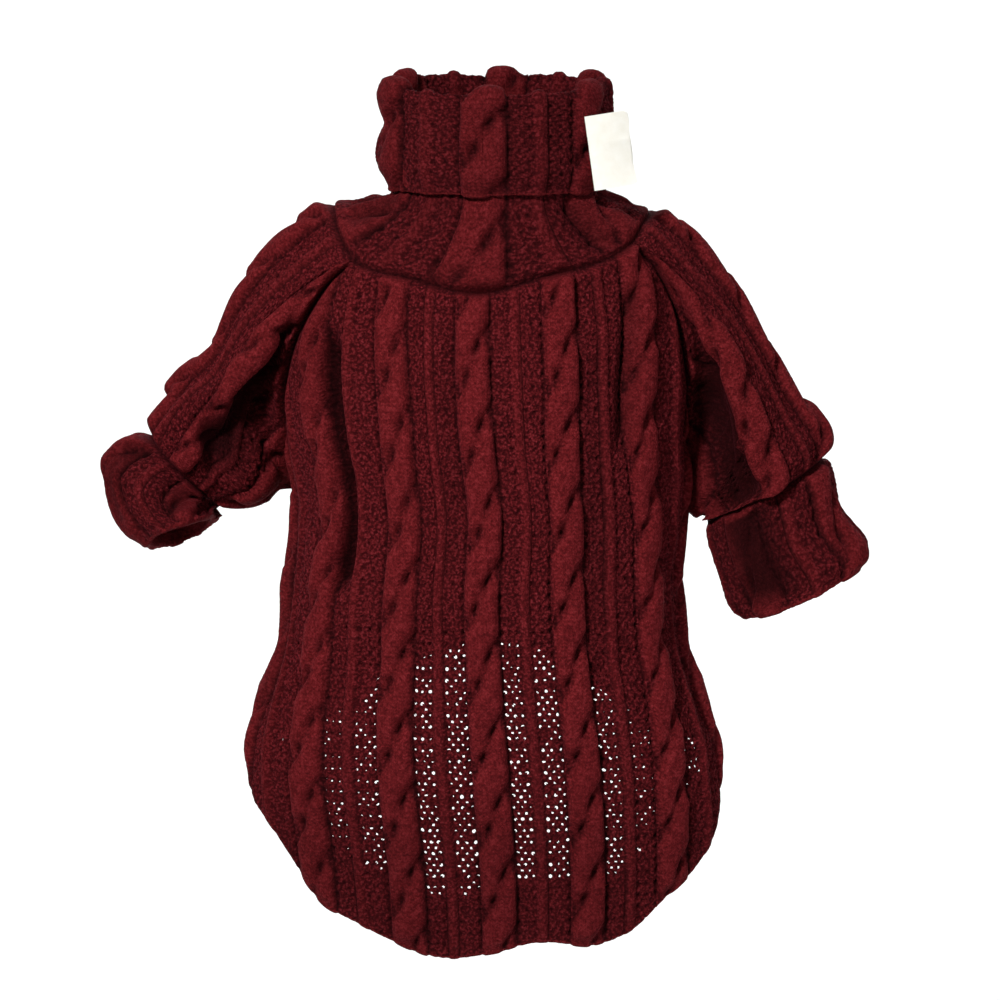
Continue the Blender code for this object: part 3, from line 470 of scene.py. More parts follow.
def body_normal(angle, height):
    round_step = body_point(angle + 1, height) - body_point(angle - 1, height)
    up_step = body_point(angle, height + 1) - body_point(angle, height - 1)
    return unit(np.cross(round_step, up_step))


def girth_angles(first, last):
    """A table of the angle at even steps of girth between two angles, for a run of heights."""
    heights = np.arange(-280.0, 21.0, 5.0)
    angles = np.linspace(first, last, 181)
    lengths = running(body_point(angles[None, :], heights[:, None]))
    shares = 2 * lengths / lengths[:, -1:] - 1
    even = np.linspace(-1, 1, 161)
    return heights, even, np.array([np.interp(even, share, angles) for share in shares])


GIRTHS = {
    "back": girth_angles(-SIDE_SEAM_ANGLE, SIDE_SEAM_ANGLE),
    "belly": girth_angles(SIDE_SEAM_ANGLE, 360 - SIDE_SEAM_ANGLE),
}


def panel_angle(panel, across, height):
    """The angle at a share across the panel's girth, from -1 at one side seam to 1 at the other."""
    heights, even, angles = GIRTHS[panel]
    if panel == "back":
        across = across + np.interp(height, DRIFT_HEIGHTS, BACK_DRIFT) * (1 - across**2)
    row = np.clip((height - heights[0]) / (heights[1] - heights[0]), 0, len(heights) - 1.001)
    column = np.clip((across - even[0]) / (even[1] - even[0]), 0, len(even) - 1.001)
    i, j = row.astype(int), column.astype(int)
    u, v = row - i, column - j
    low = angles[i, j] * (1 - v) + angles[i, j + 1] * v
    high = angles[i + 1, j] * (1 - v) + angles[i + 1, j + 1] * v
    return low * (1 - u) + high * u


def panel_base(panel, across, height):
    """The points of a panel's smooth surface and the way it faces there."""
    angle = panel_angle(panel, across, height)
    return body_point(angle, height), body_normal(angle, height)


def neck_height(angle):
    return smooth_line(NECK_EDGE, "height", (np.asarray(angle) + 180) % 360 - 180)


def on_raglan(side, panel, angle):
    """An angle as the table of a raglan seam has it, and whether the panel ends at that seam there."""
    if side == "left":
        angle = (0 if panel == "back" else 360) - angle
    corner = RAGLAN_EDGES[side, panel][0].angle
    return angle, (angle > corner if panel == "back" else angle < corner)


def top_height(panel, angle):
    """The height of a panel's upper edge: the neck seam, then the raglan seams."""
    height = neck_height(angle)
    for side in SIGNS:
        seam_angle, on_seam = on_raglan(side, panel, angle)
        height = np.where(on_seam, smooth_line(RAGLAN_EDGES[side, panel], "height", seam_angle), height)
    return height


def edge_of_panel(panel, across, height_at):
    """The height at which each column of a panel meets an edge that is given as a height at an angle."""
    height = np.full(np.shape(across), MIDDLE_HEIGHT)
    for _ in range(EDGE_PASSES):
        height = height_at(panel_angle(panel, across, height))
    return height


def neck_normal(angle):
    """The way the wall's edges face along the neck seam: outwards, and more upwards at the shoulders."""
    turn = np.radians(angle)
    rise = np.radians(NECK_RISE + SHOULDER_RISE * np.sin(turn) ** 2)
    return stacked(np.sin(turn) * np.cos(rise), -np.cos(turn) * np.cos(rise), np.sin(rise))


def ring_point(rings, along, turn):
    """The point of a sleeve or cuff at a turn round its ring, in radians."""
    value = {name: smooth_line(rings, name, along) for name in Ring._fields[1:]}
    top, low = (stacked(*(value[f"{end}_{axis}"] for axis in "xyz")) for end in ("top", "low"))
    near = stacked(value["near_x"], -value["depth"], value["near_z"])
    turn = np.asarray(turn)[..., None]
    return (top + low) / 2 + (top - low) / 2 * np.cos(turn) + near * np.sin(turn)


def armhole_half(side, end):
    """Half of an armhole as close points: down from the top of the neck edge to the underarm."""
    rows = RAGLAN_EDGES[side, end]
    neck_angles = np.linspace(ARMHOLE_TOP_ANGLE, rows[0].angle, 40)
    seam_angles = np.linspace(rows[0].angle, rows[-1].angle, 120)[1:]
    angles = SIGNS[side] * np.concatenate([neck_angles, seam_angles])
    neck_heights = neck_height(SIGNS[side] * neck_angles)
    heights = np.concatenate([neck_heights, smooth_line(rows, "height", seam_angles)])
    points = body_point(angles, heights)
    lengths = running(points)
    return {
        "points": points,
        "angles": angles,
        "heights": heights,
        "turns": np.pi * lengths / lengths[-1],
        "lengths": lengths,
        "corner": len(neck_angles) - 1,
    }


ARMHOLES = {key: armhole_half(*key) for key in RAGLAN_EDGES}


def armhole_point(side, turn):
    """A point of the armhole: of the back panel's half for a positive turn, of the belly's for a negative."""
    halves = (ARMHOLES[side, "back"], ARMHOLES[side, "belly"])
    near, far = (interpolated(np.abs(turn), half["turns"], half["points"]) for half in halves)
    return np.where((turn >= 0)[..., None], near, far)


def corner_turn(side, end):
    """The turn at which the neck edge of an armhole ends and its raglan edge starts."""
    half = ARMHOLES[side, end]
    return half["turns"][half["corner"]]


def sleeve_point(side, along, turn):
    rings = SLEEVE_RINGS[side]
    start = ring_point(rings, np.zeros_like(along), turn)
    fade = 1 - ease(along / ARMHOLE_FADE)
    return ring_point(rings, along, turn) + (armhole_point(side, turn) - start) * fade[..., None]


def raglan_share(across):
    """How far down the raglan edge of the flat cut a line of stitches starts: 0 at the neck edge."""
    return (np.abs(across) - SLEEVE_NECK_HALF) / (SLEEVE_HALF_WIDTH - SLEEVE_NECK_HALF)


def sleeve_turn(side, across, along):
    """The turn round the sleeve of a line of stitches that starts at a place across the flat cut."""
    size = np.abs(across)
    corner = np.where(across >= 0, corner_turn(side, "back"), corner_turn(side, "belly"))
    on_raglan_edge = corner + (np.pi - corner) * raglan_share(across)
    start = np.where(size < SLEEVE_NECK_HALF, corner * size / SLEEVE_NECK_HALF, on_raglan_edge)
    finish = np.pi * size / SLEEVE_HALF_WIDTH
    return np.sign(across) * (start * (1 - along) + finish * along)


def tube_normals(side, point_at, along, across, along_step, across_step, limit=np.inf):
    """The way a sleeve or cuff faces, from the steps between near points."""
    low, high = np.clip(along - along_step, 0, 1), np.clip(along + along_step, 0, 1)
    left, right = np.clip(across - across_step, -limit, limit), np.clip(across + across_step, -limit, limit)
    down = point_at(high, across) - point_at(low, across)
    over = point_at(along, right) - point_at(along, left)
    return -SIGNS[side] * unit(np.cross(down, over))


# The ways the wall's edges face, which neighbours share


def underarm_normal(side):
    return unit(body_normal(SIGNS[side] * SIDE_SEAM_ANGLE, UNDERARM_HEIGHT) + np.array([0, 0, -1.0]))


def raglan_normals(side, end, step=0.02, out=0.06):
    """The ways along a raglan seam: between the panel's way and the sleeve's."""
    half = ARMHOLES[side, end]
    names = ("angles", "heights", "turns", "lengths")
    angles, heights, turns, lengths = (half[name][half["corner"] :] for name in names)
    sign = 1 if end == "back" else -1
    inner = np.clip(turns, step, np.pi - step)
    start, near = 0 * turns, 0 * turns + out
    out_step = sleeve_point(side, near, sign * inner) - sleeve_point(side, start, sign * inner)
    before, after = sign * (inner - step), sign * (inner + step)
    round_step = sleeve_point(side, near, after) - sleeve_point(side, near, before)
    facing = -sign * SIGNS[side] * unit(np.cross(out_step, round_step))
    normals = unit(body_normal(angles, heights) + facing)
    normals = toward(neck_normal(angles[0]), normals, lengths - lengths[0], SEAM_EASE)
    return toward(underarm_normal(side), normals, lengths[-1] - lengths, UNDERARM_EASE)


RAGLAN_NORMALS = {key: raglan_normals(*key) for key in RAGLAN_EDGES}


def raglan_normal(side, end, height):
    half = ARMHOLES[side, end]
    heights = half["heights"][half["corner"] :][::-1]
    return unit(interpolated(height, heights, RAGLAN_NORMALS[side, end][::-1]))


def side_seam_normal(side, height):
    plain = body_normal(np.full(np.shape(height), SIGNS[side] * SIDE_SEAM_ANGLE), height)
    return toward(underarm_normal(side), plain, UNDERARM_HEIGHT - height, SEAM_EASE)


def panel_top_normals(panel, angles, heights):
    normals = neck_normal(angles)
    for side in SIGNS:
        _, on_seam = on_raglan(side, panel, angles)
        normals[on_seam] = raglan_normal(side, panel, heights[on_seam])
    return normals


def sleeve_seam_normals(side, turns):
    """The ways round an armhole, the collar's where the sleeve meets the collar."""
    normals = []
    for turn in turns:
        end = "back" if turn >= 0 else "belly"
        half = ARMHOLES[side, end]
        if abs(turn) < corner_turn(side, end):
            normals.append(neck_normal(np.interp(abs(turn), half["turns"], half["angles"])))
        else:
            normals.append(raglan_normal(side, end, np.interp(abs(turn), half["turns"], half["heights"])))
    return np.array(normals)


def cuff_seam_normals(side, turns, step=0.02):
    """The ways round a cuff seam: square to its ring, in the ring's plane."""
    rings = SLEEVE_RINGS[side]
    end = np.ones(len(turns))
    along_ring = ring_point(rings, end, turns + step) - ring_point(rings, end, turns - step)
    chord = ring_point(rings, end, 0 * turns) - ring_point(rings, end, 0 * turns + np.pi)
    normals = unit(np.cross(unit(along_ring), unit(np.cross(chord, (0, 1.0, 0)))))
    outward = ring_point(rings, end, turns) - ring_point(rings, end, turns + np.pi)
    return normals * np.sign((normals * outward).sum(axis=-1, keepdims=True))


def edge_steepness(line):
    """The share of an edge's upright distance that is square to the edge, for each of its points."""
    step = np.gradient(line, axis=0)
    return np.hypot(step[:, 0], step[:, 1]) / np.linalg.norm(step, axis=1)


# The knit's pattern


def mesh_holes(strip):
    """Places of a mesh strip's holes and of the small ones between them, in millimetres in the repeat."""
    start, end = strip.start * CABLE_PITCH + HOLE_MARGIN, strip.end * CABLE_PITCH - HOLE_MARGIN
    main = np.linspace(start, end, HOLES_ACROSS)
    return main, (main[1:] + main[:-1]) / 2


MESH_HOLES = [mesh_holes(strip) for strip in STRIPS if strip.kind == "mesh"]
MAIN_HOLES, SMALL_HOLES = (np.concatenate(holes) for holes in zip(*MESH_HOLES))


def repeat_lines():
    """Column places in one repeat, in millimetres from its cable's middle."""
    lines = []
    for strip in STRIPS:
        start, end = strip.start * CABLE_PITCH, strip.end * CABLE_PITCH
        if strip.kind == "mesh":
            main, small = mesh_holes(strip)
            lines.append([start])
            lines.extend([main - HOLE_HALF, main, main + HOLE_HALF, small - SMALL_HALF, small + SMALL_HALF])
        else:
            count = CABLE_COLUMNS if strip.kind == "cable" else RIB_COLUMNS
            lines.append(np.linspace(start, end, count + 1)[:-1])
    return np.sort(np.concatenate(lines))


def with_ends(parts, first, last, margin):
    """The lines between two ends, in order, with the ends."""
    lines = np.sort(np.concatenate(parts))
    inside = lines[(lines > first + margin) & (lines < last - margin)]
    return np.concatenate([[first], inside, [last]])


def pattern_places(first, last):
    """All column places between two places, with the two."""
    turns = range(int(first // CABLE_PITCH) - 1, int(last // CABLE_PITCH) + 2)
    return with_ends([turn * CABLE_PITCH + repeat_lines() for turn in turns], first, last, 0.3)


def pattern_rows(first, last, fine_below=np.inf):
    """Row heights between two heights, set closer below a height, with the two."""
    parts = []
    for turn in range(int(first // HOLE_ROW) - 1, int(last // HOLE_ROW) + 2):
        lines = ROW_LINES if turn * HOLE_ROW < fine_below else PLAIN_LINES
        parts.append(turn * HOLE_ROW + np.array(lines))
    return with_ends(parts, first, last, 0.2)


def in_repeat(place):
    """A place folded back into the repeat that starts with its cable."""
    start = STRIPS[0].start * CABLE_PITCH
    return (place - start) % CABLE_PITCH + start


def row_offset(up):
    """The offset from the nearest row of holes."""
    return (up + HOLE_ROW / 2) % HOLE_ROW - HOLE_ROW / 2


def nearest(values, targets):
    """The offset of each value from the nearest target."""
    offsets = values[..., None] - targets
    return np.take_along_axis(offsets, np.abs(offsets).argmin(axis=-1)[..., None], axis=-1)[..., 0]


def strand(offset):
    return np.sqrt(np.clip(1 - np.abs(offset) ** 2.9, 0, 1))


def cable_relief(place, up):
    """Height of a two-strand cable and its painted shade (0 to 1) in its slits, along its edges and on its
    low parts: the front strand crosses from lower left to upper right.
    """
    phase = (up / CABLE_CROSSING + CABLE_PHASE) % 1
    swing = STRAND_OUT * np.sin(np.pi * (phase - 0.5))
    hidden = ease((phase - 0.03) / 0.2) * ease((0.97 - phase) / 0.2)
    front_half = STRAND_HALF + STRAND_SPREAD * bell(phase - 0.5, 0.21)
    high = (STRAND_CREST + CROSSING_RISE * hidden) * strand((place - swing) / front_half)
    low = (STRAND_CREST - CROSSING_DIP * hidden) * strand((place + swing) / (STRAND_HALF + 0.4))
    height = np.maximum(np.maximum(high, low), 0)
    slits = 0.0
    for slit in CABLE_SLITS:
        along = ((phase - slit.phase + 0.5) % 1 - 0.5) * CABLE_CROSSING
        across = place - slit.place - SLIT_SLOPE * along
        slits = slits + bell(across, SLIT_HALF_WIDTH) * bell(along, SLIT_HALF_LENGTH)
    edge = ease((np.abs(place) - CABLE_FLANK) / 0.8)
    # Painted shade in the slits, along the cable's edges and on its low parts
    painted_shade_map = 0.68 * slits + 0.8 * edge + 0.55 * ease((1.6 - height) / 1.6)
    return height - 1.6 * slits - 1.3 * edge, np.clip(painted_shade_map, 0, 1)


def scatter(first, second, salt=0.0):
    """Even-looking chance from 0 to 1 for a pair of places, the same each time."""
    value = np.sin(np.round(first, 2) * 12.9898 + np.round(second, 2) * 78.233 + salt * 37.719) * 43758.5453
    return value - np.floor(value)


def knit_relief(place, up):
    """Height in millimetres, painted shade in pits and hollows, and open weave (both 0 to 1) of the knit."""
    column = place // CABLE_PITCH
    place = in_repeat(place)
    height, painted_shade_map = cable_relief(place, up)
    cable_edge, mesh_end = STRIPS[0].end * CABLE_PITCH, STRIPS[3].end * CABLE_PITCH
    rib = STRIPS[2]
    rib_middle, rib_half = (rib.start + rib.end) / 2 * CABLE_PITCH, (rib.end - rib.start) / 2 * CABLE_PITCH
    across_rib = np.abs(place - rib_middle) / rib_half
    in_cable, in_rib = np.abs(place) < cable_edge, across_rib < 1
    row, small_row = row_offset(up), up % HOLE_ROW - HOLE_ROW / 2
    main, small = nearest(place, MAIN_HOLES), nearest(place, SMALL_HOLES)
    chance = scatter(column + 0 * up, np.round((up - row) / HOLE_ROW) + np.round(place - main))
    main_pit = bell(main, MAIN_PIT_HALF) * bell(row, MAIN_PIT_HALF) * (0.25 + 0.75 * chance)
    small_pit = bell(small, SMALL_PIT_HALF_WIDTH) * bell(small_row, SMALL_PIT_HALF_HEIGHT)
    small_pit = small_pit * (0.2 + 0.8 * (1 - chance))
    weave = np.cos(2 * np.pi * up / HOLE_ROW) * np.cos(np.pi * small / 1.9)
    beside = bell(np.minimum(np.abs(place - cable_edge), np.abs(mesh_end - place)), FLANK_HALF)
    mesh_height = MESH_CREST + 0.25 * weave - 1.1 * main_pit - 0.6 * small_pit - 0.9 * beside
    height = np.where(in_cable, height, np.where(in_rib, RIB_CREST * strand(across_rib), mesh_height))
    # Painted shade in the mesh's holes and in the troughs beside the cables, and along the rib's edges
    mesh_painted_shade = np.clip(0.75 * main_pit + 0.55 * small_pit + 0.7 * beside, 0, 1)
    painted_shade_map = np.where(in_cable, painted_shade_map, np.where(in_rib, 0.8 * ease((across_rib - 0.68) / 0.3), mesh_painted_shade))
    openness = np.where(in_cable, ease((1.3 - height) / 0.8), np.where(in_rib, 0.6, 1.0))
    crinkle = scatter(place + column, up, 1.0) - 0.5
    return height + crinkle * (0.10 + 0.38 * openness) - KNIT_SINK, painted_shade_map, openness


def unevenness(place, up, seed):
    """Slow, soft swells of hand-made looking cloth, in millimetres."""
    total = 0.0
    for k in range(5):
        turn = seed * 1.7 + k * 2.4
        long_wave, cross_wave = 55.0 - 7 * k, 90.0 - 12 * k
        total = total + np.sin(place / cross_wave * 6.28 + turn) * np.sin(up / long_wave * 6.28 + 1.9 * turn)
    return total / 5


def hole_offsets(places, rows):
    """The offsets of columns and of rows from the middle of the hole that they belong to, or none."""
    offsets = (nearest(in_repeat(places), MAIN_HOLES), row_offset(rows[:, None]))
    return [np.where(np.abs(offset) < HOLE_HALF + 0.01, offset, np.nan) for offset in offsets]


def side_share(place):
    """0 in the middle of the tail and 1 at its sides, where the lace is closer."""
    return ease((np.abs(place) - CLOSE_LACE_FROM) / CLOSE_LACE_RUN)


def jitter(place, row, salt, reach):
    """A chance shift to either side, by up to the reach."""
    return reach * (2 * scatter(place, row, salt) - 1)


def rounded(places, rows, where):
    """Places and rows with the corners of holes drawn in and each hole a little off, where holes are cut."""
    across, along = hole_offsets(places, rows)
    on_hole = ~np.isnan(across) & ~np.isnan(along) & where
    across, along = np.nan_to_num(across), np.nan_to_num(along)
    middle_place, middle_row = places - across, rows[:, None] - along
    size = (0.45 + 0.5 * scatter(middle_place, middle_row)) * (1 - 0.3 * side_share(middle_place))
    size = size * np.where((np.abs(across) > 0.5) & (np.abs(along) > 0.5), HOLE_SHARPNESS, 1)
    hole_place = middle_place + across * size + jitter(middle_place, middle_row, 2.0, HOLE_SHIFT)
    hole_row = middle_row + along * size + jitter(middle_place, middle_row, 3.0, HOLE_RISE)
    place = np.where(on_hole, hole_place, places)
    row = np.where(on_hole, hole_row, rows[:, None])
    from_cable = np.abs(place - np.round(place / CABLE_PITCH) * CABLE_PITCH)
    loose = where & ~on_hole & (from_cable > CABLE_CLEARANCE)
    place = place + np.where(loose, jitter(place, row, 5.0, LOOSE_SHIFT), 0)
    row = row + np.where(loose, jitter(place, row, 6.0, LOOSE_SHIFT), 0)
    return place, row


def cut_quads(places, rows, where):
    """Quads inside holes: most of the four round the middle of each hole, and one for most small holes."""
    across, along = hole_offsets(places, rows)
    row, closeness = rows[:, None], side_share(places)
    middle = (np.abs(across) < 0.02) & (np.abs(along) < 0.02) & where
    cut = np.zeros((len(rows) - 1, len(places) - 1), bool)
    for k, (up, over) in enumerate(((0, 0), (1, 0), (0, 1), (1, 1))):
        chosen = middle & (scatter(places, row, 4.0 + k) > 0.24 + 0.5 * closeness)
        cut |= chosen[up : up + cut.shape[0], over : over + cut.shape[1]]
    small_column = np.abs(nearest(in_repeat(places), SMALL_HOLES) + SMALL_HALF) < 0.02
    small_row = np.abs(row % HOLE_ROW - SMALL_ROW_LINE) < 0.02
    small = small_row & small_column & where & (scatter(places, row, 9.0) > 0.38 + 0.47 * closeness)
    return cut | small[:-1, :-1]


def seam_plunge(distance):
    return -SEAM_PLUNGE * bell(distance, SEAM_GROOVE)


def seam_shade(painted_shade_map, distance):
    return np.clip(painted_shade_map + SEAM_DARKNESS * bell(distance, SEAM_DARK_HALF), 0, 1)


# Meshes


class Cloth:
    """A sheet of cloth from grids of points, which may be clipped and have holes."""

    def __init__(self, name):
        self.name = name
        self.faces = []
        self.points = np.zeros((0, 3))
        self.maps = np.zeros((0, 2))
        # Each point's painted shade and open weave, for the knit's material
        self.values = {"painted_shade": np.zeros(0), "weave": np.zeros(0)}

    def add_grid(self, points, place, up, painted_shade, weave=0.0, cut=False, same=None):
        """Adds a grid. cut marks quads to leave out, and same gives for each point the row it stands for."""
        rows, columns = points.shape[:2]
        index = np.arange(rows * columns).reshape(rows, columns)
        if same is not None:
            index = np.take_along_axis(index, same, axis=0)
        index = index + len(self.points)
        corners = np.stack([index[:-1, :-1], index[:-1, 1:], index[1:, 1:], index[1:, :-1]], axis=-1)
        flat = (corners[..., 0] == corners[..., 3]) & (corners[..., 1] == corners[..., 2])
        self.faces.extend(list(dict.fromkeys(quad)) for quad in corners[~(flat | cut)].tolist())
        self.points = np.concatenate([self.points, points.reshape(-1, 3)])
        self.maps = np.concatenate([self.maps, stacked(place, up).reshape(-1, 2)])
        for name, value in (("painted_shade", painted_shade), ("weave", weave)):
            value = np.ravel(value + 0 * points[..., 0])
            self.values[name] = np.concatenate([self.values[name], value])

    def make(self, material):
        used = np.unique(np.concatenate(self.faces))
        order = np.full(len(self.points), -1)
        order[used] = np.arange(len(used))
        order = order.tolist()
        mesh = bpy.data.meshes.new(self.name)
        faces = [[order[k] for k in face] for face in self.faces]
        mesh.from_pydata((self.points[used] * METRES).tolist(), [], faces)
        corner_points = np.zeros(len(mesh.loops), int)
        mesh.loops.foreach_get("vertex_index", corner_points)
        layer = mesh.uv_layers.new(name="knit")
        layer.data.foreach_set("uv", (self.maps / MAP_UNIT)[used][corner_points].astype(np.float32).ravel())
        for name, value in self.values.items():
            layer = mesh.attributes.new(name, "FLOAT", "POINT")
            layer.data.foreach_set("value", value[used].astype(np.float32))
        mesh.shade_smooth()
        mesh.update()
        mesh.materials.append(material)
        return linked(self.name, mesh)


def linked(name, data):
    """A new object in the scene."""
    thing = bpy.data.objects.new(name, data)
    bpy.context.collection.objects.link(thing)
    return thing


def held_rows(rows, low, high):
    """The row that each point stands for, in columns that run from a low edge to a high one."""
    first = (rows[:, None] <= low).sum(axis=0) - 1
    last = len(rows) - (rows[:, None] >= high).sum(axis=0)
    return np.clip(np.arange(len(rows))[:, None], first, last)


def hem_roll(cloth, edge, outer, normals, down, place, up, depth, inner):
    """Rolls a hem's edge round to its inside and lays the turned-up cloth there."""
    reach = (outer + depth) / 2
    middle = edge + normals * ((outer - depth) / 2)[..., None]
    rows = []
    for turn in np.linspace(0, np.pi, 7):
        swing = np.minimum(reach, 1.7) * np.sin(turn)
        rows.append(middle + normals * (reach * np.cos(turn))[..., None] + down * swing[..., None])
    grid = np.array(rows + inner)
    steps = running(grid.swapaxes(0, 1)).mean(axis=0)
    # The rolled hem and the cloth turned up inside it get a little painted shade
    cloth.add_grid(grid, place, up - steps[:, None], 0.1)


# The two panels


def swayed(panel, place, height):
    """The place on the panel of a line of stitches."""
    total = 0.0
    if panel == "back":
        for sway in SWAYS:
            near = bell(place - sway.place, SWAY_HALF_WIDTH) * bell(height - sway.height, SWAY_HALF_HEIGHT)
            total = total + sway.shift * near
    return place + total


def make_panel(panel, material):
    back = panel == "back"
    half = BACK_HALF_GIRTH if back else BELLY_HALF_GIRTH
    places = pattern_places(-half, half)
    share = places / half
    top = edge_of_panel(panel, share, lambda angle: top_height(panel, angle))
    bottom = edge_of_panel(panel, share, lambda angle: smooth_line(HEMS[panel], "height", angle))
    rows = pattern_rows(bottom.min() - 0.5, top.max() + 0.5, TAIL_HOLES_BELOW if back else -np.inf)
    plain = np.clip(rows[:, None], bottom, top)
    top_angle = panel_angle(panel, share, top)
    edge, _ = panel_base(panel, share, bottom)
    from_top = (top - plain) * edge_steepness(body_point(top_angle, top))
    from_hem = (plain - bottom) * edge_steepness(edge)
    from_side = half - np.abs(places) + 0 * plain
    inside = (from_hem > HEM_BAND + 1.5) & (from_side > 5) & (from_top > 6)
    open_mesh = back & (plain < TAIL_HOLES_BELOW) & inside
    place, row = rounded(places, rows, open_mesh)
    height = np.clip(row, bottom, top)
    points, normals = panel_base(panel, swayed(panel, place, height) / half, height)
    normals = toward(panel_top_normals(panel, top_angle, top), normals, from_top, SEAM_EASE)
    for side in SIGNS:
        column = 0 if (side == "left") == back else -1
        seam = side_seam_normal(side, height[:, column])
        near = (np.sign(places) == np.sign(places[column])) & (height < UNDERARM_HEIGHT + SEAM_EASE)
        normals = toward(seam[:, None], normals, np.where(near, from_side, SEAM_EASE), SEAM_EASE)
    relief, painted_shade_map, weave = knit_relief(place, height)
    below_arm = ease((UNDERARM_HEIGHT + 3 - height) / 4)
    side_distance = np.where(below_arm > 0, from_side + (1 - below_arm) * 9, 99)
    to_seam = np.minimum(from_top, side_distance)
    fade = ease(to_seam / KNIT_FADE)
    folds = fold_lift(PANEL_FOLDS[panel], place, height) * fade
    swell = 0.9 * unevenness(place, height, len(panel)) * fade
    lift = relief * fade * (0.3 + 0.7 * ease(from_hem / 5)) + swell + folds
    lift = lift + BAND_RIDGE * bell(from_hem - HEM_BAND, BAND_RIDGE_HALF) + seam_plunge(to_seam)
    shade = TAIL_SHADE * ease((TAIL_SHADE_TOP - height) / TAIL_SHADE_RUN)
    shade = shade + PANEL_FOLD_SHADE * np.maximum(-folds, 0)
    painted_shade_map = seam_shade((painted_shade_map + shade) * fade, to_seam)
    surface = points + normals * lift[..., None]
    same = held_rows(rows, bottom, top)
    cloth = Cloth(f"knit_{panel}_panel")
    cloth.add_grid(surface, place, height, painted_shade_map, weave, cut_quads(places, rows, open_mesh), same)
    higher, _ = panel_base(panel, share, bottom + 1)
    side_fade = 0.4 + 0.6 * ease(from_side[0] / KNIT_FADE)
    inner = []
    for rise in np.linspace(1.5, HEM_BAND, HEM_ROWS):
        point, normal = panel_base(panel, share, np.minimum(bottom + rise, top - 2))
        depth = HEM_DEPTH - 1.6 * ease((rise - HEM_BAND + 3) / 3)
        inner.append(point - normal * (depth * side_fade)[..., None])
    outer = lift[same[0], np.arange(len(places))]
    depth, down = HEM_DEPTH * side_fade, unit(edge - higher)
    hem_roll(cloth, edge, outer, normals[0], down, places, bottom, depth, inner)
    return cloth.make(material)


# Sleeves and cuffs


def sleeve_folds(side, along, turn):
    """How far the folds lift a sleeve's cloth, fading out at its two seams."""
    folds = tube_folds(SLEEVE_FOLDS[side], along, turn, SLEEVE_RUN, SLEEVE_RADIUS)
    return folds * ease(along / 0.12) * ease((1.02 - along) / 0.08)


def folded_sleeve(side, along, across, along_step=0.004, turn_step=0.01):
    """The sleeve's surface with its folds."""
    low, high = np.clip(along - along_step, 0, 1), np.clip(along + along_step, 0, 1)
    before, onward = (sleeve_point(side, at, sleeve_turn(side, across, at)) for at in (low, high))
    turn = sleeve_turn(side, across, along)
    over = sleeve_point(side, along, turn + turn_step) - sleeve_point(side, along, turn - turn_step)
    normal = -SIGNS[side] * unit(np.cross(onward - before, over))
    return sleeve_point(side, along, turn) + normal * sleeve_folds(side, along, turn)[..., None]


def make_sleeve(side, material):
    def surface_at(along, across):
        return folded_sleeve(side, along, across)

    half = SLEEVE_CABLES / 2 * CABLE_PITCH
    pattern = pattern_places(-half - SLEEVE_PATTERN_SHIFT, half - SLEEVE_PATTERN_SHIFT)
    cut_places = (pattern + SLEEVE_PATTERN_SHIFT) * (SLEEVE_HALF_WIDTH / half)
    start = SLEEVE_RAGLAN_DROP * np.maximum(raglan_share(cut_places), 0)
    rows = pattern_rows(-0.5, SLEEVE_LENGTH + 0.5)
    stitch = np.clip(rows[:, None], start, SLEEVE_LENGTH)
    along = (stitch - start) / (SLEEVE_LENGTH - start)
    across = cut_places + 0 * stitch
    from_seam, from_cuff = (stitch - start) * 0.75, SLEEVE_LENGTH - stitch
    from_side = SLEEVE_HALF_WIDTH - np.abs(across)
    normals = tube_normals(side, surface_at, along, across, 0.005, 0.4, SLEEVE_HALF_WIDTH)
    under = unit(normals[:, 0] + normals[:, -1])
    seam = sleeve_seam_normals(side, sleeve_turn(side, cut_places, 0))
    cuff = cuff_seam_normals(side, sleeve_turn(side, cut_places, 1))
    normals = toward(under[:, None], normals, from_side, UNDERARM_EASE)
    normals = toward(seam, normals, from_seam, SEAM_EASE)
    normals = toward(cuff, normals, from_cuff, SEAM_EASE)
    to_seam = np.minimum(np.minimum(from_seam, from_cuff), from_side)
    fade = ease(to_seam / KNIT_FADE)
    relief, painted_shade_map, weave = knit_relief(pattern, SIGNS[side] * stitch)
    deep = np.maximum(-sleeve_folds(side, along, sleeve_turn(side, across, along)), 0)
    swell = 1.1 * unevenness(across, stitch, 3 if side == "left" else 5)
    lift = (relief + swell - SLEEVE_FOLD_DEPTH * deep) * fade + seam_plunge(to_seam)
    painted_shade_map = seam_shade((painted_shade_map + SLEEVE_FOLD_SHADE * deep) * fade, to_seam)
    surface = surface_at(along, across) + normals * lift[..., None]
    cloth = Cloth(f"knit_sleeve_{side}")
    cloth.add_grid(surface, pattern, stitch, painted_shade_map, weave, same=held_rows(rows, start, SLEEVE_LENGTH))
    return cloth.make(material)


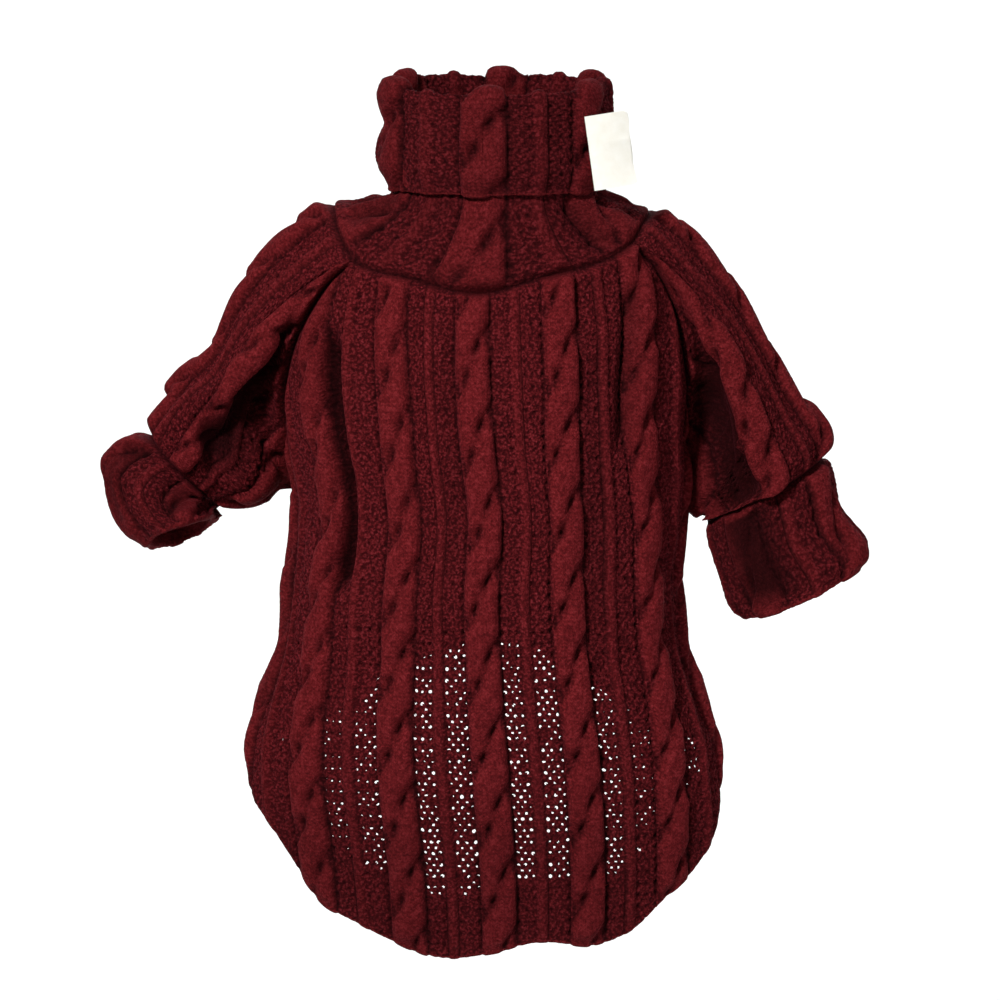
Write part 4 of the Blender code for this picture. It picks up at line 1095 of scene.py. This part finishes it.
def make_cuff(side, material):
    def surface_at(along, turn):
        return ring_point(CUFF_RINGS[side], along, turn)

    def facing(along, turn):
        return tube_normals(side, surface_at, along, turn, 0.01, 0.01)

    def folds_at(along, turn):
        around = (turn + np.pi) % (2 * np.pi) - np.pi
        folds = tube_folds(CUFF_FOLDS[side], along, around, CUFF_LENGTH, CUFF_RADIUS)
        return folds * ease((1.05 - along) / 0.4)

    places = pattern_places(0, CUFF_CABLES * CABLE_PITCH)
    stitch = pattern_rows(0, CUFF_LENGTH)[:, None] + 0 * places
    turn = (places / CABLE_PITCH + CUFF_PATTERN_SHIFT) / CUFF_CABLES * 2 * np.pi
    along, turns = stitch / CUFF_LENGTH, turn + 0 * stitch
    points = surface_at(along, turns)
    normals = toward(cuff_seam_normals(side, turn), facing(along, turns), stitch, SEAM_EASE)
    relief, painted_shade_map, weave = knit_relief(places, SIGNS[side] * stitch)
    fade = ease(stitch / KNIT_FADE)
    folds = folds_at(along, turns) * fade
    shade = CUFF_SHADE + CUFF_FOLD_SHADE * np.maximum(-folds, 0)
    painted_shade_map = seam_shade((painted_shade_map + shade) * fade, stitch)
    edge_fade = 0.45 + 0.55 * ease((CUFF_LENGTH - stitch) / 4)
    lift = relief * fade * edge_fade + seam_plunge(stitch) + folds
    cloth = Cloth(f"knit_cuff_{side}")
    cloth.add_grid(points + normals * lift[..., None], places, stitch, painted_shade_map, weave)
    inner = []
    for rise in np.linspace(1.5, CUFF_LENGTH - 2, HEM_ROWS):
        level = np.full(len(turn), 1 - rise / CUFF_LENGTH)
        depth = HEM_DEPTH - np.minimum(folds_at(level, turn), 0)
        inner.append(surface_at(level, turn) - facing(level, turn) * depth[:, None])
    down = unit(points[-1] - points[-2])
    hem_roll(cloth, points[-1], lift[-1], normals[-1], down, places, -CUFF_LENGTH, HEM_DEPTH, inner)
    return cloth.make(material)


# The collar


def collar_ring(angles, out, height):
    """A level ring of the collar, a distance out from its stand."""
    turn = np.radians(angles)
    x = COLLAR_MIDDLE + (COLLAR_HALF_WIDTH + out) * np.sin(turn)
    return stacked(x, -(COLLAR_HALF_DEPTH + out) * np.cos(turn), height)


def collar_profile(angles):
    """The middle of the wall, as rings: the funnel from the neck seam up, the stand, and the turn-down."""
    seam = body_point(angles, neck_height(angles))
    foot = collar_ring(angles, 0, COLLAR_STAND_FOOT)
    funnel = []
    for share in (0.0, 0.2, 0.4, 0.6, 0.8, 1.0):
        swing = 1 - (1 - share) ** 1.5
        ring = seam * (1 - swing) + foot * swing
        ring[:, 2] = seam[:, 2] * (1 - share) + foot[:, 2] * share
        funnel.append(ring)
    stand = [collar_ring(angles, 0, (COLLAR_STAND_FOOT + COLLAR_TOP) / 2), collar_ring(angles, 0, COLLAR_TOP)]
    turn_down = []
    for turn in np.pi * np.array((0.25, 0.5, 0.75)):
        out, rise = TURN_DOWN_OUT / 2 * (1 - np.cos(turn)), TURN_DOWN_OUT / 2 * np.sin(turn)
        turn_down.append(collar_ring(angles, out, COLLAR_TOP + rise))
    for share in np.linspace(0, 1, 8):
        drop = (COLLAR_TOP - TURN_DOWN_EDGE) * share
        turn_down.append(collar_ring(angles, TURN_DOWN_OUT + COLLAR_FLARE * share, COLLAR_TOP - drop))
    return funnel, stand, turn_down


def make_collar(material):
    places = pattern_places(0, COLLAR_CABLES * CABLE_PITCH)
    angles = places / CABLE_PITCH / COLLAR_CABLES * 360 + COLLAR_PATTERN_ANGLE
    funnel, stand, turn_down = collar_profile(angles)
    rings = np.array(funnel + stand + turn_down)
    lengths = running(rings.swapaxes(0, 1)).mean(axis=0)
    foot, fold, end = lengths[len(funnel) - 1], lengths[len(funnel + stand) - 1], lengths[-1]
    rows = pattern_rows(0, end)
    points = smooth_curve(lengths, rings, rows)
    facing, sideways = np.cos(np.radians(angles)), np.abs(np.sin(np.radians(angles)))
    rim = RIM_RISE * ease(-facing) - RIM_DIP * ease(facing)
    points[..., 2] += rim * ease((points[..., 2] - RIM_FOOT) / 20)
    down = np.gradient(points, rows, axis=0)
    over = np.roll(points[:, :-1], -1, axis=1) - np.roll(points[:, :-1], 1, axis=1)
    over = np.concatenate([over, over[:, :1]], axis=1)
    row = rows[:, None]
    normals = toward(neck_normal(angles), unit(np.cross(over, down)), row, SEAM_EASE)
    # The knit's right side is outside on the funnel and on the turn-down, so it is inside on the stand
    face = 1 - 2 * ease((row - foot + 1) / 7)
    up = np.where(row < foot + 2, row, fold + 3 - row)
    relief, painted_shade_map, weave = knit_relief(places, up + COLLAR_PATTERN_SHIFT)
    edge_fade = 0.6 + 0.4 * ease((end - row) / 3)
    stand_fade = 1 - 0.75 * ease((row - foot + 3) / 4) * ease((fold - 2 - row) / 4)
    seam_fade = ease(row / (KNIT_FADE + SHOULDER_FADE * ease((sideways - 0.75) / 0.2)))
    swell = 0.8 * unevenness(places * 1.6, row, 7)
    lift = (relief * stand_fade + swell) * edge_fade * seam_fade
    around, height = (angles + 180) % 360 - 180, points[..., 2]
    folds = sum(crease.lift * bell(around - crease.angle, crease.half_width) for crease in FUNNEL_FOLDS)
    folds = folds * ease(row / 9) * ease((foot + 1 - row) / 5)
    bulges = 0.0
    for bulge in COLLAR_BULGES:
        near = bell(around - bulge.angle, bulge.half_width) * bell(height - bulge.height, bulge.half_height)
        bulges = bulges + bulge.lift * near
    outer = lift + bulges * ease((row - fold + 2) / 5)
    tuck = TURN_DOWN_TUCK * ease((row - end + 9) / 9)
    offset = face * outer + folds + seam_plunge(row) + tuck
    shade = COLLAR_SHADE + COLLAR_FOLD_SHADE * np.maximum(-folds, 0)
    painted_shade_map = seam_shade((painted_shade_map + shade) * seam_fade, row)
    cloth = Cloth("knit_collar")
    cloth.add_grid(points + normals * offset[..., None], places, row, painted_shade_map, weave)
    edge = points[-1] + normals[-1] * tuck[-1]
    inner = [points[k] + normals[k] * (tuck[k] * 0.9 + TURN_DOWN_DEPTH) for k in range(-3, -19, -3)]
    down = unit(points[-1] - points[-2])
    hem_roll(cloth, edge, outer[-1], -normals[-1], down, places, -end, TURN_DOWN_DEPTH, inner)
    return cloth.make(material)


# The tag


def make_label(material):
    """A tape folded in two: out along its near ply, round the fold and back along the far ply."""
    out = TURN_DOWN_OUT + 1.0 + STRAND_CREST + TAG_STAND_OFF
    sewn = collar_ring(TAG_ANGLE, out, TAG_MIDDLE)
    lean = np.radians(TAG_LEAN)
    along = unit(np.array([np.cos(lean), np.tan(np.radians(TAG_TURN_AWAY)), np.sin(lean)]))
    up = np.array([-np.sin(lean), 0.0, np.cos(lean)])
    facing = unit(np.cross(up, along))
    ply = np.linspace(0, 1, TAG_PLY_COLUMNS)
    fold = np.linspace(0, 1, TAG_FOLD_STEPS + 1)[1:-1]
    share = np.concatenate([ply, fold, ply[::-1]])
    column = np.arange(len(share))
    turn = np.pi * np.clip((column - len(ply) + 1) / TAG_FOLD_STEPS, 0, 1)
    reach = TAG_WIDTH * np.concatenate([ply, np.ones(len(fold)), ply[::-1]]) + 0.5 * np.sin(turn)
    level = np.linspace(-0.5, 0.5, 45)[:, None]
    out_share = np.clip(reach / TAG_WIDTH, 0, 1)
    spread = TAG_HALF_GAP * np.cos(turn)
    swell = 0.35 * np.sin(np.pi * out_share) * np.sign(spread)
    bow = TAG_BOW * np.cos(np.pi * level) * out_share**2
    wave = 0.25 * np.sin(level * 9 + share * 4) * out_share
    crease = 0.3 * bell(level - 0.12, 0.05) * out_share
    off = (spread + swell) * (1 - 0.6 * bell(reach, 1.6)) + bow + wave - crease
    corner = np.maximum(reach - (TAG_WIDTH - TAG_CORNER), 0) / (TAG_CORNER + 0.6)
    height = TAG_HEIGHT - 2 * TAG_CORNER * (1 - np.sqrt(np.maximum(1 - corner**2, 0)))
    reach = reach * (1 + 0.012 * np.sin(level * 14 + 2))
    grid = sewn + up * (level * height)[..., None] + along * reach[..., None] + facing * off[..., None]
    cloth = Cloth("tape_label")
    cloth.add_grid(grid, column * 0.6, level * TAG_HEIGHT, 0.0)
    return cloth.make(material)


# Materials


class Nodes:
    """Makes and joins shader nodes."""

    def __init__(self, tree, shader="Principled BSDF"):
        self.tree = tree
        self.shader = tree.nodes[shader]

    def set(self, node, inputs):
        for name, value in inputs.items():
            if isinstance(value, bpy.types.NodeSocket):
                self.tree.links.new(value, node.inputs[name])
            else:
                node.inputs[name].default_value = value

    def add(self, kind, inputs, **settings):
        node = self.tree.nodes.new(kind)
        for name, value in settings.items():
            setattr(node, name, value)
        self.set(node, inputs)
        return node

    def source(self, kind, output, **settings):
        return self.add(kind, {}, **settings).outputs[output]

    def math(self, operation, *values):
        return self.add("ShaderNodeMath", dict(enumerate(values)), operation=operation).outputs[0]

    def times(self, first, second):
        return self.math("MULTIPLY", first, second)

    def ramp(self, value, *stops):
        node = self.add("ShaderNodeValToRGB", {"Fac": value})
        ramp = node.color_ramp
        ramp.elements[0].position, ramp.elements[0].color = stops[0]
        ramp.elements[1].position, ramp.elements[1].color = stops[-1]
        for position, colour in stops[1:-1]:
            ramp.elements.new(position).color = colour
        return node.outputs["Color"]

    def mix(self, share, first, second):
        return self.add("ShaderNodeMix", {0: share, 6: first, 7: second}, data_type="RGBA").outputs[2]

    def noise(self, place, scale, detail, roughness):
        inputs = {"Vector": place, "Scale": scale, "Detail": detail, "Roughness": roughness}
        return self.add("ShaderNodeTexNoise", inputs).outputs["Fac"]

    def bump(self, height, strength, distance):
        inputs = {"Height": height, "Strength": strength, "Distance": distance}
        return self.add("ShaderNodeBump", inputs).outputs["Normal"]


def new_material(name):
    material = bpy.data.materials.new(name)
    material.use_nodes = True
    return material, Nodes(material.node_tree)


def knit_material():
    """Fuzzy burgundy yarn: fine stitches on cables, curly loops on mesh and ribs with painted glints and
    shade, painted shade in pits, hollows, folds and along seams, mottling.
    """
    material, nodes = new_material("burgundy_knit")
    knit = nodes.source("ShaderNodeUVMap", "UV", uv_map="knit")
    space = nodes.source("ShaderNodeTexCoord", "Object")
    painted_shade = nodes.source("ShaderNodeAttribute", "Fac", attribute_name="painted_shade")
    weave = nodes.source("ShaderNodeAttribute", "Fac", attribute_name="weave")
    parts = nodes.add("ShaderNodeSeparateXYZ", {0: knit}).outputs
    place = nodes.times(parts[0], MAP_UNIT / STITCH_WIDTH)
    row = nodes.times(parts[1], MAP_UNIT / STITCH_HEIGHT)
    leg = nodes.math("ABSOLUTE", nodes.math("SUBTRACT", nodes.math("FRACT", place), 0.5))
    stitch = nodes.math("FRACT", nodes.math("MULTIPLY_ADD", leg, 1.2, row))
    stitch = nodes.math("SINE", nodes.times(stitch, np.pi))
    wale = nodes.math("SINE", nodes.times(leg, 2 * np.pi))
    stitch = nodes.times(stitch, nodes.math("MULTIPLY_ADD", wale, 0.6, 0.4))
    loops = nodes.add("ShaderNodeTexVoronoi", {}, voronoi_dimensions="2D", feature="SMOOTH_F1")
    nodes.set(loops, {"Vector": knit, "Scale": 8.2, "Randomness": 1.0, "Smoothness": 0.35})
    loop = nodes.math("SUBTRACT", 1.0, nodes.times(loops.outputs["Distance"], 1.3))
    curl = nodes.noise(space, 900.0, 3.0, 0.65)
    tufts = nodes.noise(space, 330.0, 3.0, 0.6)
    clouds = nodes.noise(space, 38.0, 3.0, 0.5)
    grain = nodes.math("MULTIPLY_ADD", curl, 0.7, nodes.times(tufts, 0.3))
    smooth_yarn = nodes.ramp(grain, (0.40, YARN_DULL), (0.50, YARN), (0.61, YARN_BRIGHT))
    # Painted shade in the gaps between the stitches' legs
    smooth_yarn = nodes.mix(nodes.times(nodes.math("SUBTRACT", 1.0, stitch), 0.30), smooth_yarn, YARN_PAINTED_SHADE)
    loop_light = nodes.math("MULTIPLY_ADD", curl, 2.0, nodes.math("MULTIPLY_ADD", loop, 0.5, -0.86))
    loop_yarn = nodes.ramp(loop_light, (0.22, YARN_SHADE), (0.5, YARN_LOOP), (0.92, YARN_GLINT))
    yarn = nodes.mix(weave, smooth_yarn, loop_yarn)
    yarn = nodes.mix(nodes.times(clouds, 0.35), yarn, YARN_DULL)
    # Painted shade: darker in pits, holes, slits, fold hollows, along seams, on the collar and cuffs and
    # towards the tail's hem
    yarn = nodes.mix(nodes.times(painted_shade, 0.9), yarn, YARN_PAINTED_SHADE)
    fine = nodes.math("MULTIPLY_ADD", curl, 0.9, nodes.times(stitch, 0.35))
    coarse = nodes.math("MULTIPLY_ADD", loop, 0.6, nodes.times(curl, 1.5))
    height = nodes.add("ShaderNodeMix", {0: weave, 2: fine, 3: coarse}, data_type="FLOAT").outputs[0]
    nodes.set(nodes.shader, {
        "Base Color": yarn,
        "Roughness": 0.95,
        "Specular IOR Level": 0.04,
        "Sheen Weight": 0.06,
        "Sheen Roughness": 0.5,
        "Sheen Tint": YARN_FUZZ,
        "Normal": nodes.bump(height, 0.9, 0.0006),
    })
    return material


def tape_material():
    """Cream woven tape: warp and weft, with faint mottling."""
    material, nodes = new_material("cream_tape")
    knit = nodes.source("ShaderNodeUVMap", "UV", uv_map="knit")
    parts = nodes.add("ShaderNodeSeparateXYZ", {0: knit}).outputs
    warp = nodes.math("SINE", nodes.times(parts[0], MAP_UNIT * 6.283 / TAPE_WARP))
    weft = nodes.math("SINE", nodes.times(parts[1], MAP_UNIT * 6.283 / TAPE_WEFT))
    weave = nodes.math("MULTIPLY_ADD", nodes.times(warp, weft), 0.5, 0.5)
    mottling = nodes.noise(nodes.source("ShaderNodeTexCoord", "Object"), 260.0, 4.0, 0.6)
    cream = nodes.ramp(mottling, (0.3, TAPE_DULL), (0.7, TAPE_BRIGHT))
    cream = nodes.mix(nodes.times(weave, 0.10), cream, TAPE_SHADE)
    normal = nodes.bump(nodes.math("MULTIPLY_ADD", mottling, 0.6, weave), 0.5, 0.0002)
    nodes.set(nodes.shader, {"Base Color": cream, "Roughness": 0.8, "Sheen Weight": 0.1, "Normal": normal})
    return material


# The stage


def make_stage():
    """A floor that bends up into a backdrop, and looks lighter than it is as a light on the cloth."""
    material, nodes = new_material("pale_floor")
    nodes.set(nodes.shader, {"Base Color": (0.93, 0.93, 0.93, 1), "Roughness": 0.9})
    seen = nodes.source("ShaderNodeLightPath", "Is Camera Ray")
    glow = nodes.add("ShaderNodeEmission", {"Color": WHITE, "Strength": 0.95}).outputs[0]
    share, lit = nodes.times(seen, 0.75), nodes.shader.outputs[0]
    mixed = nodes.add("ShaderNodeMixShader", {0: share, 1: lit, 2: glow})
    nodes.set(nodes.tree.nodes["Material Output"], {"Surface": mixed.outputs[0]})
    profile = [(FLOOR_FRONT, FLOOR), (FLOOR_BACK, FLOOR)]
    for turn in np.linspace(0, np.pi / 2, 13)[1:]:
        profile.append((FLOOR_BACK + WALL_BEND * np.sin(turn), FLOOR + WALL_BEND * (1 - np.cos(turn))))
    profile.append((FLOOR_BACK + WALL_BEND, WALL_TOP))
    points = [(x, y, z) for y, z in profile for x in (-FLOOR_HALF_WIDTH, FLOOR_HALF_WIDTH)]
    faces = [(2 * k, 2 * k + 1, 2 * k + 3, 2 * k + 2) for k in range(len(profile) - 1)]
    mesh = bpy.data.meshes.new("pale_floor")
    mesh.from_pydata(points, [], faces)
    mesh.shade_smooth()
    mesh.materials.append(material)
    linked("pale_floor", mesh)


def make_world():
    """White all round where it is seen, and a dim, even fill on the cloth."""
    world = bpy.data.worlds.new("studio")
    world.use_nodes = True
    nodes = Nodes(world.node_tree, "Background")
    seen = nodes.source("ShaderNodeLightPath", "Is Camera Ray")
    nodes.set(nodes.shader, {"Color": WHITE, "Strength": nodes.math("MULTIPLY_ADD", seen, 0.80, 0.12)})
    bpy.context.scene.world = world


def point_at(thing, place, aim):
    """Puts a thing at a place, looking at another, with its upright kept."""
    back = unit(np.array(place, float) - np.array(aim, float))
    right = unit(np.cross((0.0, 0.0, 1.0), back))
    matrix = np.eye(4)
    matrix[:3, :3] = np.stack([right, np.cross(back, right), back], axis=1)
    matrix[:3, 3] = place
    thing.matrix_world = Matrix(matrix.tolist())


def add_light(light):
    data = bpy.data.lights.new(light.name, "AREA")
    data.shape, data.size, data.energy, data.color = "DISK", light.size, light.energy, light.colour
    data.spread = np.radians(light.spread)
    point_at(linked(light.name, data), light.place, light.aim)


def make_camera():
    data = bpy.data.cameras.new("camera")
    data.lens, data.sensor_width = CAMERA_LENS, 36.0
    camera = linked("camera", data)
    point_at(camera, CAMERA_PLACE, CAMERA_AIM)
    bpy.context.scene.camera = camera


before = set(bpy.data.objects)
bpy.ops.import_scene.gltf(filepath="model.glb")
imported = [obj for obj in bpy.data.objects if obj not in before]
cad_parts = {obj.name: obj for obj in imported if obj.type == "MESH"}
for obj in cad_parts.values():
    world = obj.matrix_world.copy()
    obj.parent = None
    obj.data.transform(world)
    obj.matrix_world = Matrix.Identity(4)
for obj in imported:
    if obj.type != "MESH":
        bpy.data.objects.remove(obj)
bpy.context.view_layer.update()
knit, tape = knit_material(), tape_material()
pieces = {
    "back_panel": make_panel("back", knit),
    "belly_panel": make_panel("belly", knit),
    "sleeve_left": make_sleeve("left", knit),
    "sleeve_right": make_sleeve("right", knit),
    "cuff_left": make_cuff("left", knit),
    "cuff_right": make_cuff("right", knit),
    "collar": make_collar(knit),
    "label": make_label(tape),
}
for node, piece in pieces.items():
    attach(piece, "root")
    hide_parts(node)
make_stage()
for light in LIGHTS:
    add_light(light)
bpy.context.scene.view_settings.view_transform = "Standard"
make_world()
make_camera()
